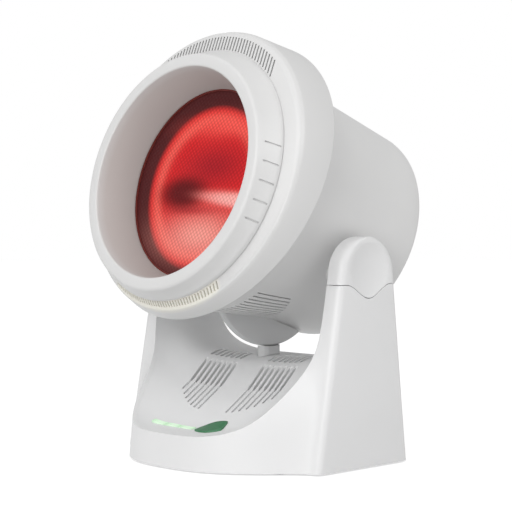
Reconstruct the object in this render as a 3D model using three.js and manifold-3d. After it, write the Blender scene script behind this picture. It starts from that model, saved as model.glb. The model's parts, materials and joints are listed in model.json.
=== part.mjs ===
// Infrared heat therapy lamp: a drum-shaped head that tilts between the two arms of a U-shaped stand.
// Millimetres, +Z up. The lamp faces -Y, and +X is the right-hand arm seen from behind the lamp.
import * as THREE from 'three';
import { mergeVertices } from 'three/addons/utils/BufferGeometryUtils.js';
import ManifoldModule from 'manifold-3d';

const wasm = await ManifoldModule();
wasm.setup();

// Fits, cutter overrun and facets
const gap = 0.3;
const overrun = 4;
const bigFacets = 36;
const smallFacets = 16;
const screwFacets = 8;

// Glass stack. The glass and its collar set the width of the head, and the head sets the width of the stand.
const collarEndRadius = 66.2;
const glassLap = 2.2;
const glassRadius = collarEndRadius + glassLap;
const glassThickness = 3;
const glassRimWall = 2.3;
const ledgeThickness = 1.3;
const gasketThickness = 1;
const gasketLip = 0.7;
const gasketRadius = collarEndRadius - gasketLip;
const clampLap = 4.5;
const clampInnerRadius = glassRadius - clampLap;
const clampThickness = 1.2;
const clampScrewCount = 4;
const clampBossOffset = 2.3;
const clampScrewPlace = glassRadius + gap + glassRimWall + clampBossOffset;
const clampRimWidth = 3;
const clampOuterRadius = clampScrewPlace + clampRimWidth;
const clampBossRadius = 3.2;
const clampScrewRadius = 1.5;
const clampScrewHead = 2.8;
const clampScrewHeadHeight = 2;
const clampScrewLength = 11;

// Bezel. Reach is measured along the optical axis, back from the plane of the aperture.
const collarFlare = 6.6;
const apertureRadius = collarEndRadius + collarFlare;
const lipWidth = 8.4;
const lipRadius = apertureRadius + lipWidth;
const bandFlare = 6.6;
const bandRadius = lipRadius + bandFlare;
const bandReach = 16.2;
const bezelWall = 2.5;
const collarRun = 13.1;
const collarReach = bandReach + collarRun;
const clampBossLength = 13.3;
const gasketFront = collarReach + ledgeThickness + gap;
const glassFront = gasketFront + gasketThickness + gap;
const glassRear = glassFront + glassThickness;
const flangeFront = glassRear + gap;
const gripCount = 5;
const gripPitch = THREE.MathUtils.degToRad(8.9);
const gripMiddle = THREE.MathUtils.degToRad(-4.2);
const gripWidth = 1;
const gripDepth = 0.8;

// Drum. Each hoop is a circle on the optical axis, lifted by rise and leaned back by lean. Each stands
// out from the one before by its step and lies behind it by its run, the last one behind the glass.
const shellWall = 2.6;
const shoulderTuck = 2.6;
const shoulderRun = 0.3;
const shoulderTopStep = 9.4;
const shoulderTopRun = 2.7;
const drumRoundStep = 2.4;
const drumRoundRun = 1.1;
const drumFrontStep = 1.4;
const drumFrontRun = 2.1;
const drumFlare = 4;
const drumRearRun = 8.3;
const shoulderFoot = { r: bandRadius - shoulderTuck, s: bandReach + shoulderRun, rise: 0, lean: 0 };
const shoulderTop = {
  r: shoulderFoot.r + shoulderTopStep,
  s: shoulderFoot.s + shoulderTopRun,
  rise: 6.2,
  lean: THREE.MathUtils.degToRad(0.8),
};
const drumRound = {
  r: shoulderTop.r + drumRoundStep,
  s: shoulderTop.s + drumRoundRun,
  rise: 6.9,
  lean: THREE.MathUtils.degToRad(1.6),
};
const drumFront = {
  r: drumRound.r + drumFrontStep,
  s: drumRound.s + drumFrontRun,
  rise: 7,
  lean: THREE.MathUtils.degToRad(2.2),
};
const drumRear = {
  r: drumFront.r + drumFlare,
  s: flangeFront + drumRearRun,
  rise: 6,
  lean: THREE.MathUtils.degToRad(9),
};
const drumEdgeRound = 1.6;
const topVentCount = 24;
const topVentHalf = 59.5;
const topVentWidth = 2;
const lowVentCount = 18;
const lowVentHalf = 50;
const lowVentWidth = 1.8;
const ventMarginShare = 0.12;

// Rear body. It leans a little more than the optical axis, and the drum stands out round it.
const drumStep = 23;
const canRadius = drumRear.r - drumStep;
const canTaper = 0.9;
const canEndRadius = canRadius - canTaper;
const drumOverlap = 0.8;
const canStart = drumRear.s - drumOverlap;
const canLift = 10.9;
const canLean = THREE.MathUtils.degToRad(4.9);
const canLength = 128;
const canEdgeRound = 5;
const canFlangeWidth = 3.6;
const canFlangeRadius = canRadius + canFlangeWidth;
const canFlangeReach = 3.9;
const canFlangeThickness = 2.4;
const canNeckRun = 5.7;
const canNeckReach = canFlangeReach + canFlangeThickness + canNeckRun;
const underVentCount = 6;
const underVentFirst = THREE.MathUtils.degToRad(5.8);
const underVentPitch = THREE.MathUtils.degToRad(3.8);
const underVentStart = 24;
const underVentLong = 50;
const underVentShort = 32;
const underVentWidth = 1.8;
const rearVentCount = 7;
const rearVentPitch = 11;
const rearVentLength = 76;
const rearVentWidth = 3;
const shieldRibCount = 6;
const shieldRibWidth = 2.4;

// Reflector, lamp and heat shield
const reflectorLedge = 7.5;
const reflectorRadius = glassRadius - reflectorLedge;
const reflectorDepth = 50;
const reflectorWall = 1;
const reflectorFlangeLap = 2.5;
const reflectorFlangeRadius = glassRadius + reflectorFlangeLap;
const lampDepth = 24.4;
const lampTubeRadius = 5.5;
const lampBaseRadius = 7.4;
const lampBaseLength = 11;
const holderBoreDepth = 6;
const holderSize = [12, 15, 15];
const holderRoom = 0.4;
const reflectorHoleRadius = Math.hypot(holderSize[1], holderSize[2]) / 2 + holderRoom;
const bracketWidth = 14;
const bracketThickness = 1.2;
const cutoutRadius = 8;
const cutoutHeight = 5;
const shieldStandoff = 4.2;
const shieldRadius = canRadius - shellWall - shieldStandoff;
const shieldWall = 0.9;
const shieldStart = 14;
const shieldLength = 58;
const shieldMouthRadius = 24;
const lampEndRoom = 27.6;
const lampTubeHalf = shieldRadius - lampEndRoom;

// Stand housing. Depths run back from the front corners of the arms.
const standWall = 2.8;
const deckWall = 2.6;
const deckDrop = 3.2;
const washerThickness = 1.2;
const pivotHeadHeight = 2.6;
const headClearance = 3;
const scoopHalfWidth = canRadius + headClearance;
const armLean = 2.1;
const armRoom = 1.8;
const armThickness = standWall + armLean + deckWall + washerThickness + pivotHeadHeight + armRoom;
const standHalfWidth = scoopHalfWidth + armThickness;
const armTopHalfWidth = standHalfWidth - armLean;
const armDepth = 50.1;
const armFrontSetback = 25.4;
const armRearSetback = 15.4;
const standDepth = armFrontSetback + armDepth + armRearSetback;
const capCentreHeight = 129.3;
const trunnionRadius = 11;
const bushFlangeWidth = 5.5;
const bushFlangeRadius = trunnionRadius + bushFlangeWidth;
const pivotLift = 2.7;
const capRoom = 5.3;
const capRise = bushFlangeRadius + pivotLift + capRoom;
const standCorner = 5;
const floorGap = 1.2;

// Tilt axis, in the middle of the arms and above the underside of the rear body
const restTilt = THREE.MathUtils.degToRad(14.65);
const pivotSetback = 0.55;
const pivotDepth = armFrontSetback + armDepth / 2 + pivotSetback;
const pivotHeight = capCentreHeight + pivotLift;
const pivotRiseInHead = 39.8;
const opticalRise = canRadius - pivotRiseInHead;
const apertureReach = 107.5;
const pivotBossRadius = 12.5;
const bushWall = 1.7;
const bushFlangeThickness = 1.9;
const washerRadius = 15;
const pivotScrewRadius = 3;
const pivotScrewLength = 15;
const pivotHeadRadius = 6;

// Neck block and keel, which guide the head's middle
const neckHalfWidth = 5;
const neckHalfLength = 9;
const neckFrontDepth = pivotDepth - neckHalfLength;
const neckRearDepth = pivotDepth + neckHalfLength;
const neckHeight = 6.2;
const keelDrop = 16.2;
const keelRadius = pivotRiseInHead + keelDrop;
const keelThickness = 9;

// Nose that bulges forward between the arms
const noseDepth = 48.2;
const noseShoulder = 5.5;
const noseHalfWidth = standHalfWidth - noseShoulder;
const noseFadeLow = 30;
const noseFadeHigh = 85;
const noseFullness = 2.8;
const noseOgee = 1.5;
const noseLeanShare = 0.3;

// Bottom plate, and the boards that stand on it with their lights and switch
const plateUnderside = 1.6;
const plateThickness = 2.6;
const plateTop = plateUnderside + plateThickness;
const boardThickness = 1.6;
const boardStandoff = 6;
const boardFoot = plateTop + boardStandoff;
const boardTop = boardFoot + boardThickness;
const ledSide = 3;
const ledHeight = 2.2;
const stripClearance = 1.2;
const stripFootHeight = boardTop + ledHeight + stripClearance;

// Scooped deck between the arms: its height from the rim of the nose to the rear ledge
const ledgeHeight = pivotHeight - keelRadius - neckHeight;
const scoopRise = 18.2;
const scoopRimHeight = ledgeHeight + scoopRise;
const noseRise = 8;
const noseRimHeight = stripFootHeight + noseRise;
const scoopFullness = 3;
const deckProfileShares = [
  [0, 0],
  [0.13, 0.017],
  [0.2, 0.067],
  [0.26, 0.15],
  [0.33, 0.27],
  [0.475, 0.556],
  [0.54, 0.749],
  [0.6, 0.93],
  [0.66, 0.99],
  [0.742, 1],
  [1, 0.965],
];

// Slots and grooves of the deck. Their rows are measured forward from the tilt axis.
const slotsPerGroup = 6;
const slotPitch = 6.1;
const slotWidth = 2.3;
const slotFirstOffset = 14;
const rearSlotLead = 1;
const rearSlotLength = 10;
const rearSlotHigh = pivotDepth - rearSlotLead;
const rearSlotLow = rearSlotHigh - rearSlotLength;
const slotBridge = 5;
const frontSlotLength = 17.2;
const frontSlotHigh = rearSlotLow - slotBridge;
const frontSlotLow = frontSlotHigh - frontSlotLength;
const grooveDepth = 0.9;
const grooveInnerLength = 19.8;
const grooveOuterLength = 7.8;

// Split between the arms and their caps, seen from the side
const partingDrop = 7.3;
const partingHeight = capCentreHeight - partingDrop;
const partingDip = 9.2;
const partingDipHalf = 22;
const dishHalfLength = 19;
const dishHalfWidth = 17;
const dishDepth = 1.6;

// Power button, light strip and what lies under them. Their depths run back from the nose.
const buttonTravel = 1.5;
const buttonProud = 1.2;
const buttonTip = [9.5, 19.7];
const buttonLowBulge = [21, 14.7];
const buttonLowCorner = [29.5, 25.2];
const buttonHighCorner = [26, 34.7];
const buttonHighBulge = [10, 35.7];
const buttonLip = 1.6;
const buttonStemRadius = 3;
const buttonFootDrop = 5.4;
const buttonFootHeight = noseRimHeight - buttonFootDrop;
const stripLeft = -36;
const stripRight = 5.5;
const stripSetback = 23.2;
const stripDepth = stripSetback - noseDepth;
const stripWidth = 3.4;
const stripNotch = 1;
const stripWindows = 3;

// Feet and base screws, with the posts that take them
const footRadius = 9;
const footStemRadius = 3;
const footStemLength = 4;
const rearFootInset = [16.5, 13.9];
const rearFootOffset = [standHalfWidth - rearFootInset[0], standDepth - rearFootInset[1]];
const frontFootInset = 31.5;
const frontFootLead = 3;
const frontFootOffset = [standHalfWidth - frontFootInset, -frontFootLead];
const postRadius = 4.5;
const mainsBoardHalf = [50, 27];
const mainsPostRoom = 14;
const rearPostHalf = mainsBoardHalf[0] + mainsPostRoom;
const rearPostInset = 30.9;
const rearPostOffset = [rearPostHalf, standDepth - rearPostInset];
const controlBoardHalf = [36, 14];
const controlPostRoom = 12;
const frontPostHalf = controlBoardHalf[0] + controlPostRoom;
const frontPostSetback = 34.2;
const frontPostOffset = [frontPostHalf, frontPostSetback - noseDepth];
const baseScrewRadius = 1.7;
const baseScrewHeadRadius = 3.4;
const baseScrewLength = 14;
const plateSlotLength = 34;
const plateSlotWidth = 3;
const plateSlotPitch = 8;
const plateSlotCount = 6;

// Boards in the base, and the mains components, placed from the middle of their board
const standoffRadius = 3;
const controlBoardRoom = 13.2;
const controlBoardDepth = controlBoardRoom + controlBoardHalf[1] - noseDepth;
const mainsBoardRoom = 14.9;
const mainsBoardDepth = standDepth - mainsBoardRoom - mainsBoardHalf[1];
const switchSide = 8;
const switchHeight = 3.4;
const plungerRadius = 2;
const transformerSize = [40, 34, 30];
const transformerPlace = [-24, -1];
const relaySize = [19, 15, 16];
const relayPlace = [16, -7];
const terminalSize = [26, 13, 12];
const terminalPlace = [24, 15];

// Cord inlet in the rear wall
const glandHeight = 17;
const glandBoreRadius = 3.8;
const glandSleeveWall = 1.8;
const glandSleeveRadius = glandBoreRadius + glandSleeveWall;
const glandFlangeWidth = 1.9;
const glandFlangeRadius = glandSleeveRadius + glandFlangeWidth;
const glandFlangeThickness = 2;
const glandSleeveLength = 9;

// Colours of the materials
const whitePlastic = 0xefefee;
const greyPlastic = 0xd9dadb;
const rubberBlack = 0x2a2a2b;
const buttonGreen = 0x4a8a5c;
const stripGlow = 0xcdf5c8;
const glassRed = 0xc4181a;
const siliconeRed = 0x8d3b36;
const steelGrey = 0xa9acb0;
const brightAluminium = 0xd8dadd;
const boardGreen = 0x2f6b45;
const ceramicWhite = 0xe9e4d8;
const transformerYellow = 0xd8b64c;
const bakeliteBlack = 0x1f2022;
const quartzClear = 0xf5e4d6;

// Turns a geometry into a manifold solid whose faces point outwards.
function solid(geometry, matrix = new THREE.Matrix4()) {
  const bare = new THREE.BufferGeometry();
  bare.setAttribute('position', geometry.getAttribute('position').clone());
  if (geometry.index) bare.setIndex(geometry.index.clone());
  bare.applyMatrix4(matrix);
  const merged = mergeVertices(bare);
  const position = merged.getAttribute('position');
  const corners = merged.index.array;
  const [a, b, c] = [new THREE.Vector3(), new THREE.Vector3(), new THREE.Vector3()];
  const kept = [];
  let volume = 0;
  for (let i = 0; i < corners.length; i += 3) {
    const [p, q, r] = [corners[i], corners[i + 1], corners[i + 2]];
    if (p === q || q === r || r === p) continue;
    kept.push(p, q, r);
    a.fromBufferAttribute(position, p);
    b.fromBufferAttribute(position, q);
    c.fromBufferAttribute(position, r);
    volume += a.dot(b.cross(c));
  }
  if (volume < 0) kept.reverse();
  return new wasm.Manifold(
    new wasm.Mesh({
      numProp: 3,
      vertProperties: Float32Array.from(position.array),
      triVerts: Uint32Array.from(kept),
    }),
  );
}

// Turns a manifold solid back into a geometry.
function geometryOf(body) {
  const mesh = body.getMesh();
  const geometry = new THREE.BufferGeometry();
  geometry.setAttribute('position', new THREE.BufferAttribute(mesh.vertProperties, 3));
  geometry.setIndex(new THREE.BufferAttribute(mesh.triVerts, 1));
  geometry.computeVertexNormals();
  return geometry;
}

// Joins a list of solids.
function join(bodies) {
  return bodies.reduce((sum, body) => sum.add(body));
}

// Matrix that moves to a place.
function at(x, y, z) {
  return new THREE.Matrix4().makeTranslation(x, y, z);
}

// Turns a shape from the Y axis to another axis.
const alongX = new THREE.Matrix4().makeRotationZ(-Math.PI / 2);
const alongZ = new THREE.Matrix4().makeRotationX(Math.PI / 2);

// Upright block whose centre stands at x, y and whose foot is at z.
function block(width, depth, height, x, y, z) {
  return solid(new THREE.BoxGeometry(width, depth, height), at(x, y, z + height / 2));
}

// Round bar along a turned axis, between two stations of that axis.
function bar(turn, radius, from, to, place, facets = smallFacets) {
  const geometry = new THREE.CylinderGeometry(radius, radius, to - from, facets);
  geometry.translate(0, (from + to) / 2, 0);
  return solid(geometry, place.clone().multiply(turn));
}

// Body of revolution about Y from radius and reach pairs.
function turned(profile, facets = bigFacets) {
  return new THREE.LatheGeometry(profile.map(([r, y]) => new THREE.Vector2(r, y)), facets);
}

// Closed ring of revolution, whose profile returns to its start.
function turnedRing(profile, facets = bigFacets) {
  return turned([...profile, profile[0]], facets);
}

// Faces of one end of a loft, with the wanted turning sense.
function endFaces(section, flat, offset, sense) {
  const outline = section.map(flat);
  return THREE.ShapeUtils.triangulateShape(outline, []).flatMap(([i, j, k]) => {
    const area = THREE.ShapeUtils.area([outline[i], outline[j], outline[k]]);
    const ordered = area * sense > 0 ? [i, j, k] : [i, k, j];
    return ordered.map((corner) => corner + offset);
  });
}

// Skin through a row of closed sections. With no flattening rule the row closes on itself.
function loft(sections, flat) {
  const count = sections[0].length;
  const rings = flat ? sections.length - 1 : sections.length;
  const index = [];
  for (let ring = 0; ring < rings; ring += 1) {
    const next = (ring + 1) % sections.length;
    for (let i = 0; i < count; i += 1) {
      const j = (i + 1) % count;
      const [a, b] = [ring * count + i, ring * count + j];
      const [c, d] = [next * count + j, next * count + i];
      index.push(a, b, c, a, c, d);
    }
  }
  if (flat) {
    const sense = Math.sign(THREE.ShapeUtils.area(sections[0].map(flat)));
    index.push(...endFaces(sections[0], flat, 0, -sense));
    index.push(...endFaces(sections.at(-1), flat, (sections.length - 1) * count, sense));
  }
  const geometry = new THREE.BufferGeometry().setFromPoints(sections.flat());
  geometry.setIndex(index);
  return solid(geometry);
}

// Adds a named piece to a group.
function piece(group, name, shape, color, roughness, metalness = 0) {
  const geometry = shape.isBufferGeometry ? shape : geometryOf(shape);
  const material = new THREE.MeshStandardMaterial({ color, roughness, metalness });
  const mesh = new THREE.Mesh(geometry, material);
  mesh.name = name;
  group.add(mesh);
}

// Share of a point between two values, held between 0 and 1 and eased at both ends.
function eased(value, low, high) {
  return THREE.MathUtils.smoothstep(value, low, high);
}

// Depth of the front and rear edges of the stand at a height, drawn in by an inset.
function sideEdges(z, inset) {
  const share = Math.min(z, capCentreHeight) / capCentreHeight;
  const front = armFrontSetback * share + inset;
  const rear = standDepth - armRearSetback * share - inset;
  if (z <= capCentreHeight) return [front, rear];
  const lift = (z - capCentreHeight) / (capRise - inset);
  const middle = (front + rear) / 2;
  const half = ((rear - front) / 2) * Math.sqrt(Math.max(1 - lift * lift, 0));
  return [middle - half, middle + half];
}

// Half width of the stand at a height.
function halfWidthAt(z) {
  const lean = (standHalfWidth - armTopHalfWidth) / capCentreHeight;
  return standHalfWidth - lean * Math.min(z, capCentreHeight);
}

// How far the nose stands forward at a place across the stand, from 0 to 1.
function noseShare(x) {
  const across = Math.min(Math.abs(x) / noseHalfWidth, 1);
  return (1 - across ** noseFullness) ** noseOgee;
}

// Plan outline of the stand at a height, drawn in by an inset.
function standSection(z, inset) {
  const [front, rear] = sideEdges(z, inset);
  const half = halfWidthAt(z) - inset;
  const corner = Math.min(standCorner, (rear - front) / 3);
  const noseSteps = 16;
  const cornerSteps = 2;
  const fade = 1 - eased(z, noseFadeLow, noseFadeHigh);
  const outline = [];
  for (let i = 0; i <= noseSteps; i += 1) {
    const x = (half - corner) * ((2 * i) / noseSteps - 1);
    const forward = noseShare(Math.abs(x) + (inset * 3) / 5);
    const lean = (front - inset) * (1 - forward * fade * (1 - noseLeanShare));
    outline.push(new THREE.Vector3(x, lean + inset - noseDepth * forward * fade, z));
  }
  const turns = [
    [half - corner, front + corner, -Math.PI / 2],
    [half - corner, rear - corner, 0],
    [corner - half, rear - corner, Math.PI / 2],
    [corner - half, front + corner, Math.PI],
  ];
  turns.forEach(([x, y, start], turn) => {
    for (let i = 0; i <= cornerSteps; i += 1) {
      const angle = start + ((Math.PI / 2) * i) / cornerSteps;
      const shared = (turn === 0 && i === 0) || (turn === 3 && i === cornerSteps);
      if (shared) continue;
      outline.push(new THREE.Vector3(x + corner * Math.cos(angle), y + corner * Math.sin(angle), z));
    }
  });
  return outline;
}

// Solid envelope of the stand from a foot height up to the tops of the caps.
function standEnvelope(inset, foot) {
  const straightShares = [0.12, 0.28, 0.42, 0.56, 0.7, 0.85, 1];
  const roundAngles = [0.25, 0.45, 0.62, 0.76, 0.87, 0.95];
  const heights = [
    foot,
    ...straightShares.map((share) => share * capCentreHeight),
    ...roundAngles.map((share) => capCentreHeight + (capRise - inset) * Math.sin((share * Math.PI) / 2)),
  ];
  return loft(
    heights.map((z) => standSection(z, inset)),
    (p) => new THREE.Vector2(p.x, p.y),
  );
}

// Height of the deck on the symmetry plane.
function deckHeight(y) {
  const along = THREE.MathUtils.clamp((y + noseDepth) / (standDepth + noseDepth), 0, 1);
  const next = Math.max(deckProfileShares.findIndex(([share]) => share >= along), 1);
  const [[a, low], [b, high]] = [deckProfileShares[next - 1], deckProfileShares[next]];
  const share = THREE.MathUtils.mapLinear(along, a, b, low, high);
  return noseRimHeight + share * (ledgeHeight - noseRimHeight);
}

// Space between the arms and over the deck, made larger by a side and a drop.
function scoop(side, drop) {
  const steps = 16;
  const top = capCentreHeight + capRise + overrun;
  const stations = deckProfileShares.map(([share]) => share * (standDepth + noseDepth) - noseDepth);
  const half = scoopHalfWidth + side;
  const section = (y, z) => {
    const outline = [];
    for (let i = 0; i <= steps; i += 1) {
      const angle = Math.PI * (i / steps - 1 / 2);
      const across = Math.sign(Math.sin(angle)) * Math.abs(Math.sin(angle)) ** (2 / scoopFullness);
      const rise = 1 - Math.abs(Math.cos(angle)) ** (2 / scoopFullness);
      outline.push(new THREE.Vector3(across * half, y, z - drop + rise * (scoopRimHeight - z + drop)));
    }
    outline.push(new THREE.Vector3(half, y, top), new THREE.Vector3(-half, y, top));
    return outline;
  };
  const sections = stations.map((y) => section(y, deckHeight(y)));
  sections.unshift(section(-noseDepth - overrun, noseRimHeight));
  sections.push(section(standDepth + overrun, deckHeight(standDepth)));
  return loft(sections, (p) => new THREE.Vector2(p.x, p.z));
}

// Everything above the wavy split line of the arms, moved up or down by a shift.
function aboveParting(shift) {
  const steps = 12;
  const reach = standDepth + noseDepth;
  const top = capCentreHeight + capRise + overrun;
  const low = partingHeight + shift;
  const middle = (sideEdges(partingHeight, 0)[0] + sideEdges(partingHeight, 0)[1]) / 2;
  const outline = [new THREE.Vector2(-reach, low)];
  for (let i = 0; i <= steps; i += 1) {
    const turn = (2 * i) / steps - 1;
    const dip = (partingDip * (1 + Math.cos(Math.PI * turn))) / 2;
    outline.push(new THREE.Vector2(middle + partingDipHalf * turn, low - dip));
  }
  outline.push(new THREE.Vector2(reach, low), new THREE.Vector2(reach, top), new THREE.Vector2(-reach, top));
  const extrusion = new THREE.ExtrudeGeometry(new THREE.Shape(outline), {
    depth: 2 * (standHalfWidth + overrun),
    bevelEnabled: false,
  });
  // The outline is drawn in Y and Z, and the extrusion runs along X.
  const turn = new THREE.Matrix4().makeBasis(
    new THREE.Vector3(0, 1, 0),
    new THREE.Vector3(0, 0, 1),
    new THREE.Vector3(1, 0, 0),
  );
  return solid(extrusion, at(-standHalfWidth - overrun, 0, 0).multiply(turn));
}

// Shared solids of the stand
const outerForm = standEnvelope(0, floorGap);
const innerForm = standEnvelope(standWall, -overrun);
const linerForm = standEnvelope(standWall + gap, plateUnderside);
const openScoop = scoop(0, 0);

// Outline of the power button, grown by an offset.
function buttonOutline(offset) {
  const centre = new THREE.Vector2(
    (buttonTip[0] + buttonLowCorner[0] + buttonHighCorner[0]) / 3,
    (buttonTip[1] + buttonLowCorner[1] + buttonHighCorner[1]) / 3,
  );
  const shape = new THREE.Shape();
  shape.moveTo(...buttonTip);
  shape.quadraticCurveTo(...buttonLowBulge, ...buttonLowCorner);
  shape.lineTo(...buttonHighCorner);
  shape.quadraticCurveTo(...buttonHighBulge, ...buttonTip);
  const points = shape.getPoints(8).map((point) => {
    const away = point.clone().sub(centre);
    return point.clone().add(away.setLength(offset));
  });
  return new THREE.Shape(points.slice(0, -1));
}

// Upright prism of the button outline between two heights.
function buttonPrism(offset, low, high) {
  const geometry = new THREE.ExtrudeGeometry(buttonOutline(offset), { depth: high - low, bevelEnabled: false });
  return solid(geometry, at(0, -noseDepth, low));
}

// Upright block that follows the light strip between two heights.
function stripBlock(offset, low) {
  const width = stripRight - stripLeft + 2 * offset;
  return block(width, stripWidth + 2 * offset, ledgeHeight - low, (stripLeft + stripRight) / 2, stripDepth, low);
}

// Places across the deck of the slots of both groups.
function slotPlaces() {
  const places = [];
  for (let i = 0; i < slotsPerGroup; i += 1) {
    const x = slotFirstOffset + i * slotPitch;
    places.push([x, i], [-x, i]);
  }
  return places;
}

// Through slots of the deck.
function deckSlots() {
  const height = ledgeHeight;
  const runs = [
    [frontSlotLow, frontSlotHigh],
    [rearSlotLow, rearSlotHigh],
  ];
  return join(
    slotPlaces().flatMap(([x]) =>
      runs.map(([low, high]) => block(slotWidth, high - low, height, x, (low + high) / 2, noseRimHeight)),
    ),
  );
}

// Shallow grooves that carry the front slots on towards the nose.
function deckGrooves() {
  const bars = slotPlaces().map(([x, i]) => {
    const share = (i / (slotsPerGroup - 1)) ** 2;
    const length = THREE.MathUtils.lerp(grooveInnerLength, grooveOuterLength, share);
    return block(slotWidth, length, ledgeHeight, x, frontSlotLow - length / 2, noseRimHeight);
  });
  return join(bars).intersect(scoop(grooveDepth, grooveDepth));
}

// Mirror images across the stand's middle plane.
function bothSides([x, y]) {
  return [
    ['right', x, y],
    ['left', -x, y],
  ];
}

const postPlaces = [...bothSides(rearPostOffset), ...bothSides(frontPostOffset)];

// Shell of the arms, the nose and the rear wall, open below.
function outerShell() {
  const glandHole = bar(new THREE.Matrix4(), glandSleeveRadius + gap, -overrun, overrun, glandFrame());
  return outerForm.subtract(innerForm).subtract(openScoop).subtract(aboveParting(0)).subtract(glandHole);
}

// Frame of the cord inlet, square to the leaning rear wall.
function glandFrame() {
  const rear = sideEdges(glandHeight, 0)[1];
  const lean = Math.atan2(armRearSetback, capCentreHeight);
  return at(0, rear, glandHeight).multiply(new THREE.Matrix4().makeRotationX(lean));
}

// Panel of the deck, with a liner up the inside of each arm and posts down to the bottom plate.
function deckPanel() {
  const skin = linerForm.intersect(scoop(deckWall, deckDrop)).subtract(openScoop);
  const under = scoop(deckWall / 2, deckDrop / 2);
  const posts = postPlaces.map(([, x, y]) =>
    bar(alongZ, postRadius, plateTop + gap, scoopRimHeight, at(x, y, 0), screwFacets).subtract(under),
  );
  const bores = postPlaces.map(([, x, y]) =>
    bar(alongZ, baseScrewRadius + gap, plateUnderside, plateUnderside + baseScrewLength + gap, at(x, y, 0), screwFacets),
  );
  const reach = standHalfWidth + overrun;
  const bushHole = bar(alongX, trunnionRadius + gap + bushWall + gap, -reach, reach, at(0, pivotDepth, pivotHeight), 24);
  return join([skin, ...posts])
    .subtract(join(bores))
    .subtract(deckSlots())
    .subtract(deckGrooves())
    .subtract(buttonPrism(gap, noseRimHeight - standWall - deckDrop, ledgeHeight))
    .subtract(stripBlock(gap, noseRimHeight - standWall - deckDrop))
    .subtract(bushHole);
}

// Hollow cap over the top of one arm, with a shallow oval dish outside.
function armCap(sign) {
  const reach = standHalfWidth + overrun;
  const side = block(reach, 2 * reach, 2 * reach, (sign * reach) / 2, pivotDepth, 0);
  const dish = new THREE.SphereGeometry(1, 24, 14);
  const bulge = dishHalfLength;
  const height = capCentreHeight + (capRise * 3) / 20;
  const spread = 1 / Math.sqrt(1 - (1 - dishDepth / bulge) ** 2);
  const matrix = at(sign * (armTopHalfWidth + bulge - dishDepth), pivotDepth, height).scale(
    new THREE.Vector3(bulge, dishHalfWidth * spread, dishHalfLength * spread),
  );
  return outerForm
    .subtract(innerForm)
    .intersect(aboveParting(gap))
    .subtract(openScoop)
    .intersect(side)
    .subtract(solid(dish, matrix));
}

// Bottom plate with standoffs for both boards.
function bottomPlate() {
  const inset = standWall + gap;
  const plate = loft(
    [plateUnderside, plateTop].map((z) => standSection(z, inset)),
    (p) => new THREE.Vector2(p.x, p.y),
  );
  const standoffs = boardCorners().map(([x, y]) =>
    bar(alongZ, standoffRadius, plateTop - plateThickness / 2, plateTop + boardStandoff - gap, at(x, y, 0), screwFacets),
  );
  const footHoles = [...bothSides(rearFootOffset), ...bothSides(frontFootOffset)].map(([, x, y]) =>
    bar(alongZ, footStemRadius + gap, -overrun, plateTop + overrun, at(x, y, 0), screwFacets),
  );
  const screwHoles = postPlaces.map(([, x, y]) => solid(baseScrew(gap, screwFacets), at(x, y, 0)));
  const slots = [];
  for (let i = 0; i < plateSlotCount; i += 1) {
    const x = (i - (plateSlotCount - 1) / 2) * plateSlotPitch;
    slots.push(block(plateSlotWidth, plateSlotLength, 2 * plateTop, x, mainsBoardDepth, 0));
  }
  return join([plate, ...standoffs]).subtract(join([...footHoles, ...screwHoles, ...slots]));
}

// Corners of both boards, where the standoffs and their seats lie.
function boardCorners() {
  const inset = 2 * standoffRadius;
  const corners = ([x, y], middle) =>
    [-1, 1].flatMap((i) => [-1, 1].map((j) => [i * (x - inset), middle + j * (y - inset)]));
  return [...corners(mainsBoardHalf, mainsBoardDepth), ...corners(controlBoardHalf, controlBoardDepth)];
}

// Countersunk screw that stands upright, head down, grown by a clearance.
function baseScrew(clearance, facets = screwFacets) {
  const [thin, wide] = [baseScrewRadius + clearance, baseScrewHeadRadius + clearance];
  const head = plateUnderside + baseScrewHeadRadius - baseScrewRadius;
  const tip = plateUnderside + baseScrewLength;
  const foot = plateUnderside - clearance;
  const geometry = turned([[0, foot], [wide, foot], [wide, plateUnderside], [thin, head], [thin, tip], [0, tip]], facets);
  return geometry.applyMatrix4(alongZ);
}

// Rubber foot with a stem that plugs into the bottom plate.
function rubberFoot(x, y) {
  const pad = plateUnderside - gap;
  const profile = [
    [0, 0],
    [footRadius - pad / 2, 0],
    [footRadius, pad / 2],
    [footRadius, pad],
    [footStemRadius, pad],
    [footStemRadius, pad + footStemLength],
    [0, pad + footStemLength],
  ];
  return turned(profile, smallFacets).applyMatrix4(at(x, y, 0).multiply(alongZ));
}

// Light guide in the deck, flush with it, with its windows parted by notches.
function lightStrip() {
  const bar = stripBlock(0, stripFootHeight).subtract(openScoop);
  const pitch = (stripRight - stripLeft) / stripWindows;
  const notches = [];
  for (let i = 1; i < stripWindows; i += 1) {
    notches.push(block(stripNotch, 2 * stripWidth, ledgeHeight, stripLeft + i * pitch, stripDepth, noseRimHeight));
  }
  return bar.subtract(join(notches).intersect(scoop(grooveDepth, grooveDepth)));
}

// Push button: a leaf that stands a little proud, with a lip below the deck and a stem.
function powerButton() {
  const leaf = buttonPrism(0, buttonFootHeight + buttonLip, ledgeHeight).subtract(scoop(-buttonProud, -buttonProud));
  const under = scoop(deckWall + gap, deckDrop + gap);
  const lip = buttonPrism(buttonLip, buttonFootHeight, ledgeHeight).subtract(under);
  return leaf.add(lip).add(buttonStem());
}

// Middle of the button in plan.
function buttonMiddle() {
  return [(buttonTip[0] + buttonLowCorner[0]) / 2, (buttonTip[1] + buttonHighCorner[1]) / 2 - noseDepth];
}

function buttonStem() {
  const [x, y] = buttonMiddle();
  const foot = boardTop + gap + switchHeight + gap + buttonTravel;
  return bar(alongZ, buttonStemRadius, foot, buttonFootHeight + buttonLip, at(x, y, 0));
}

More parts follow.
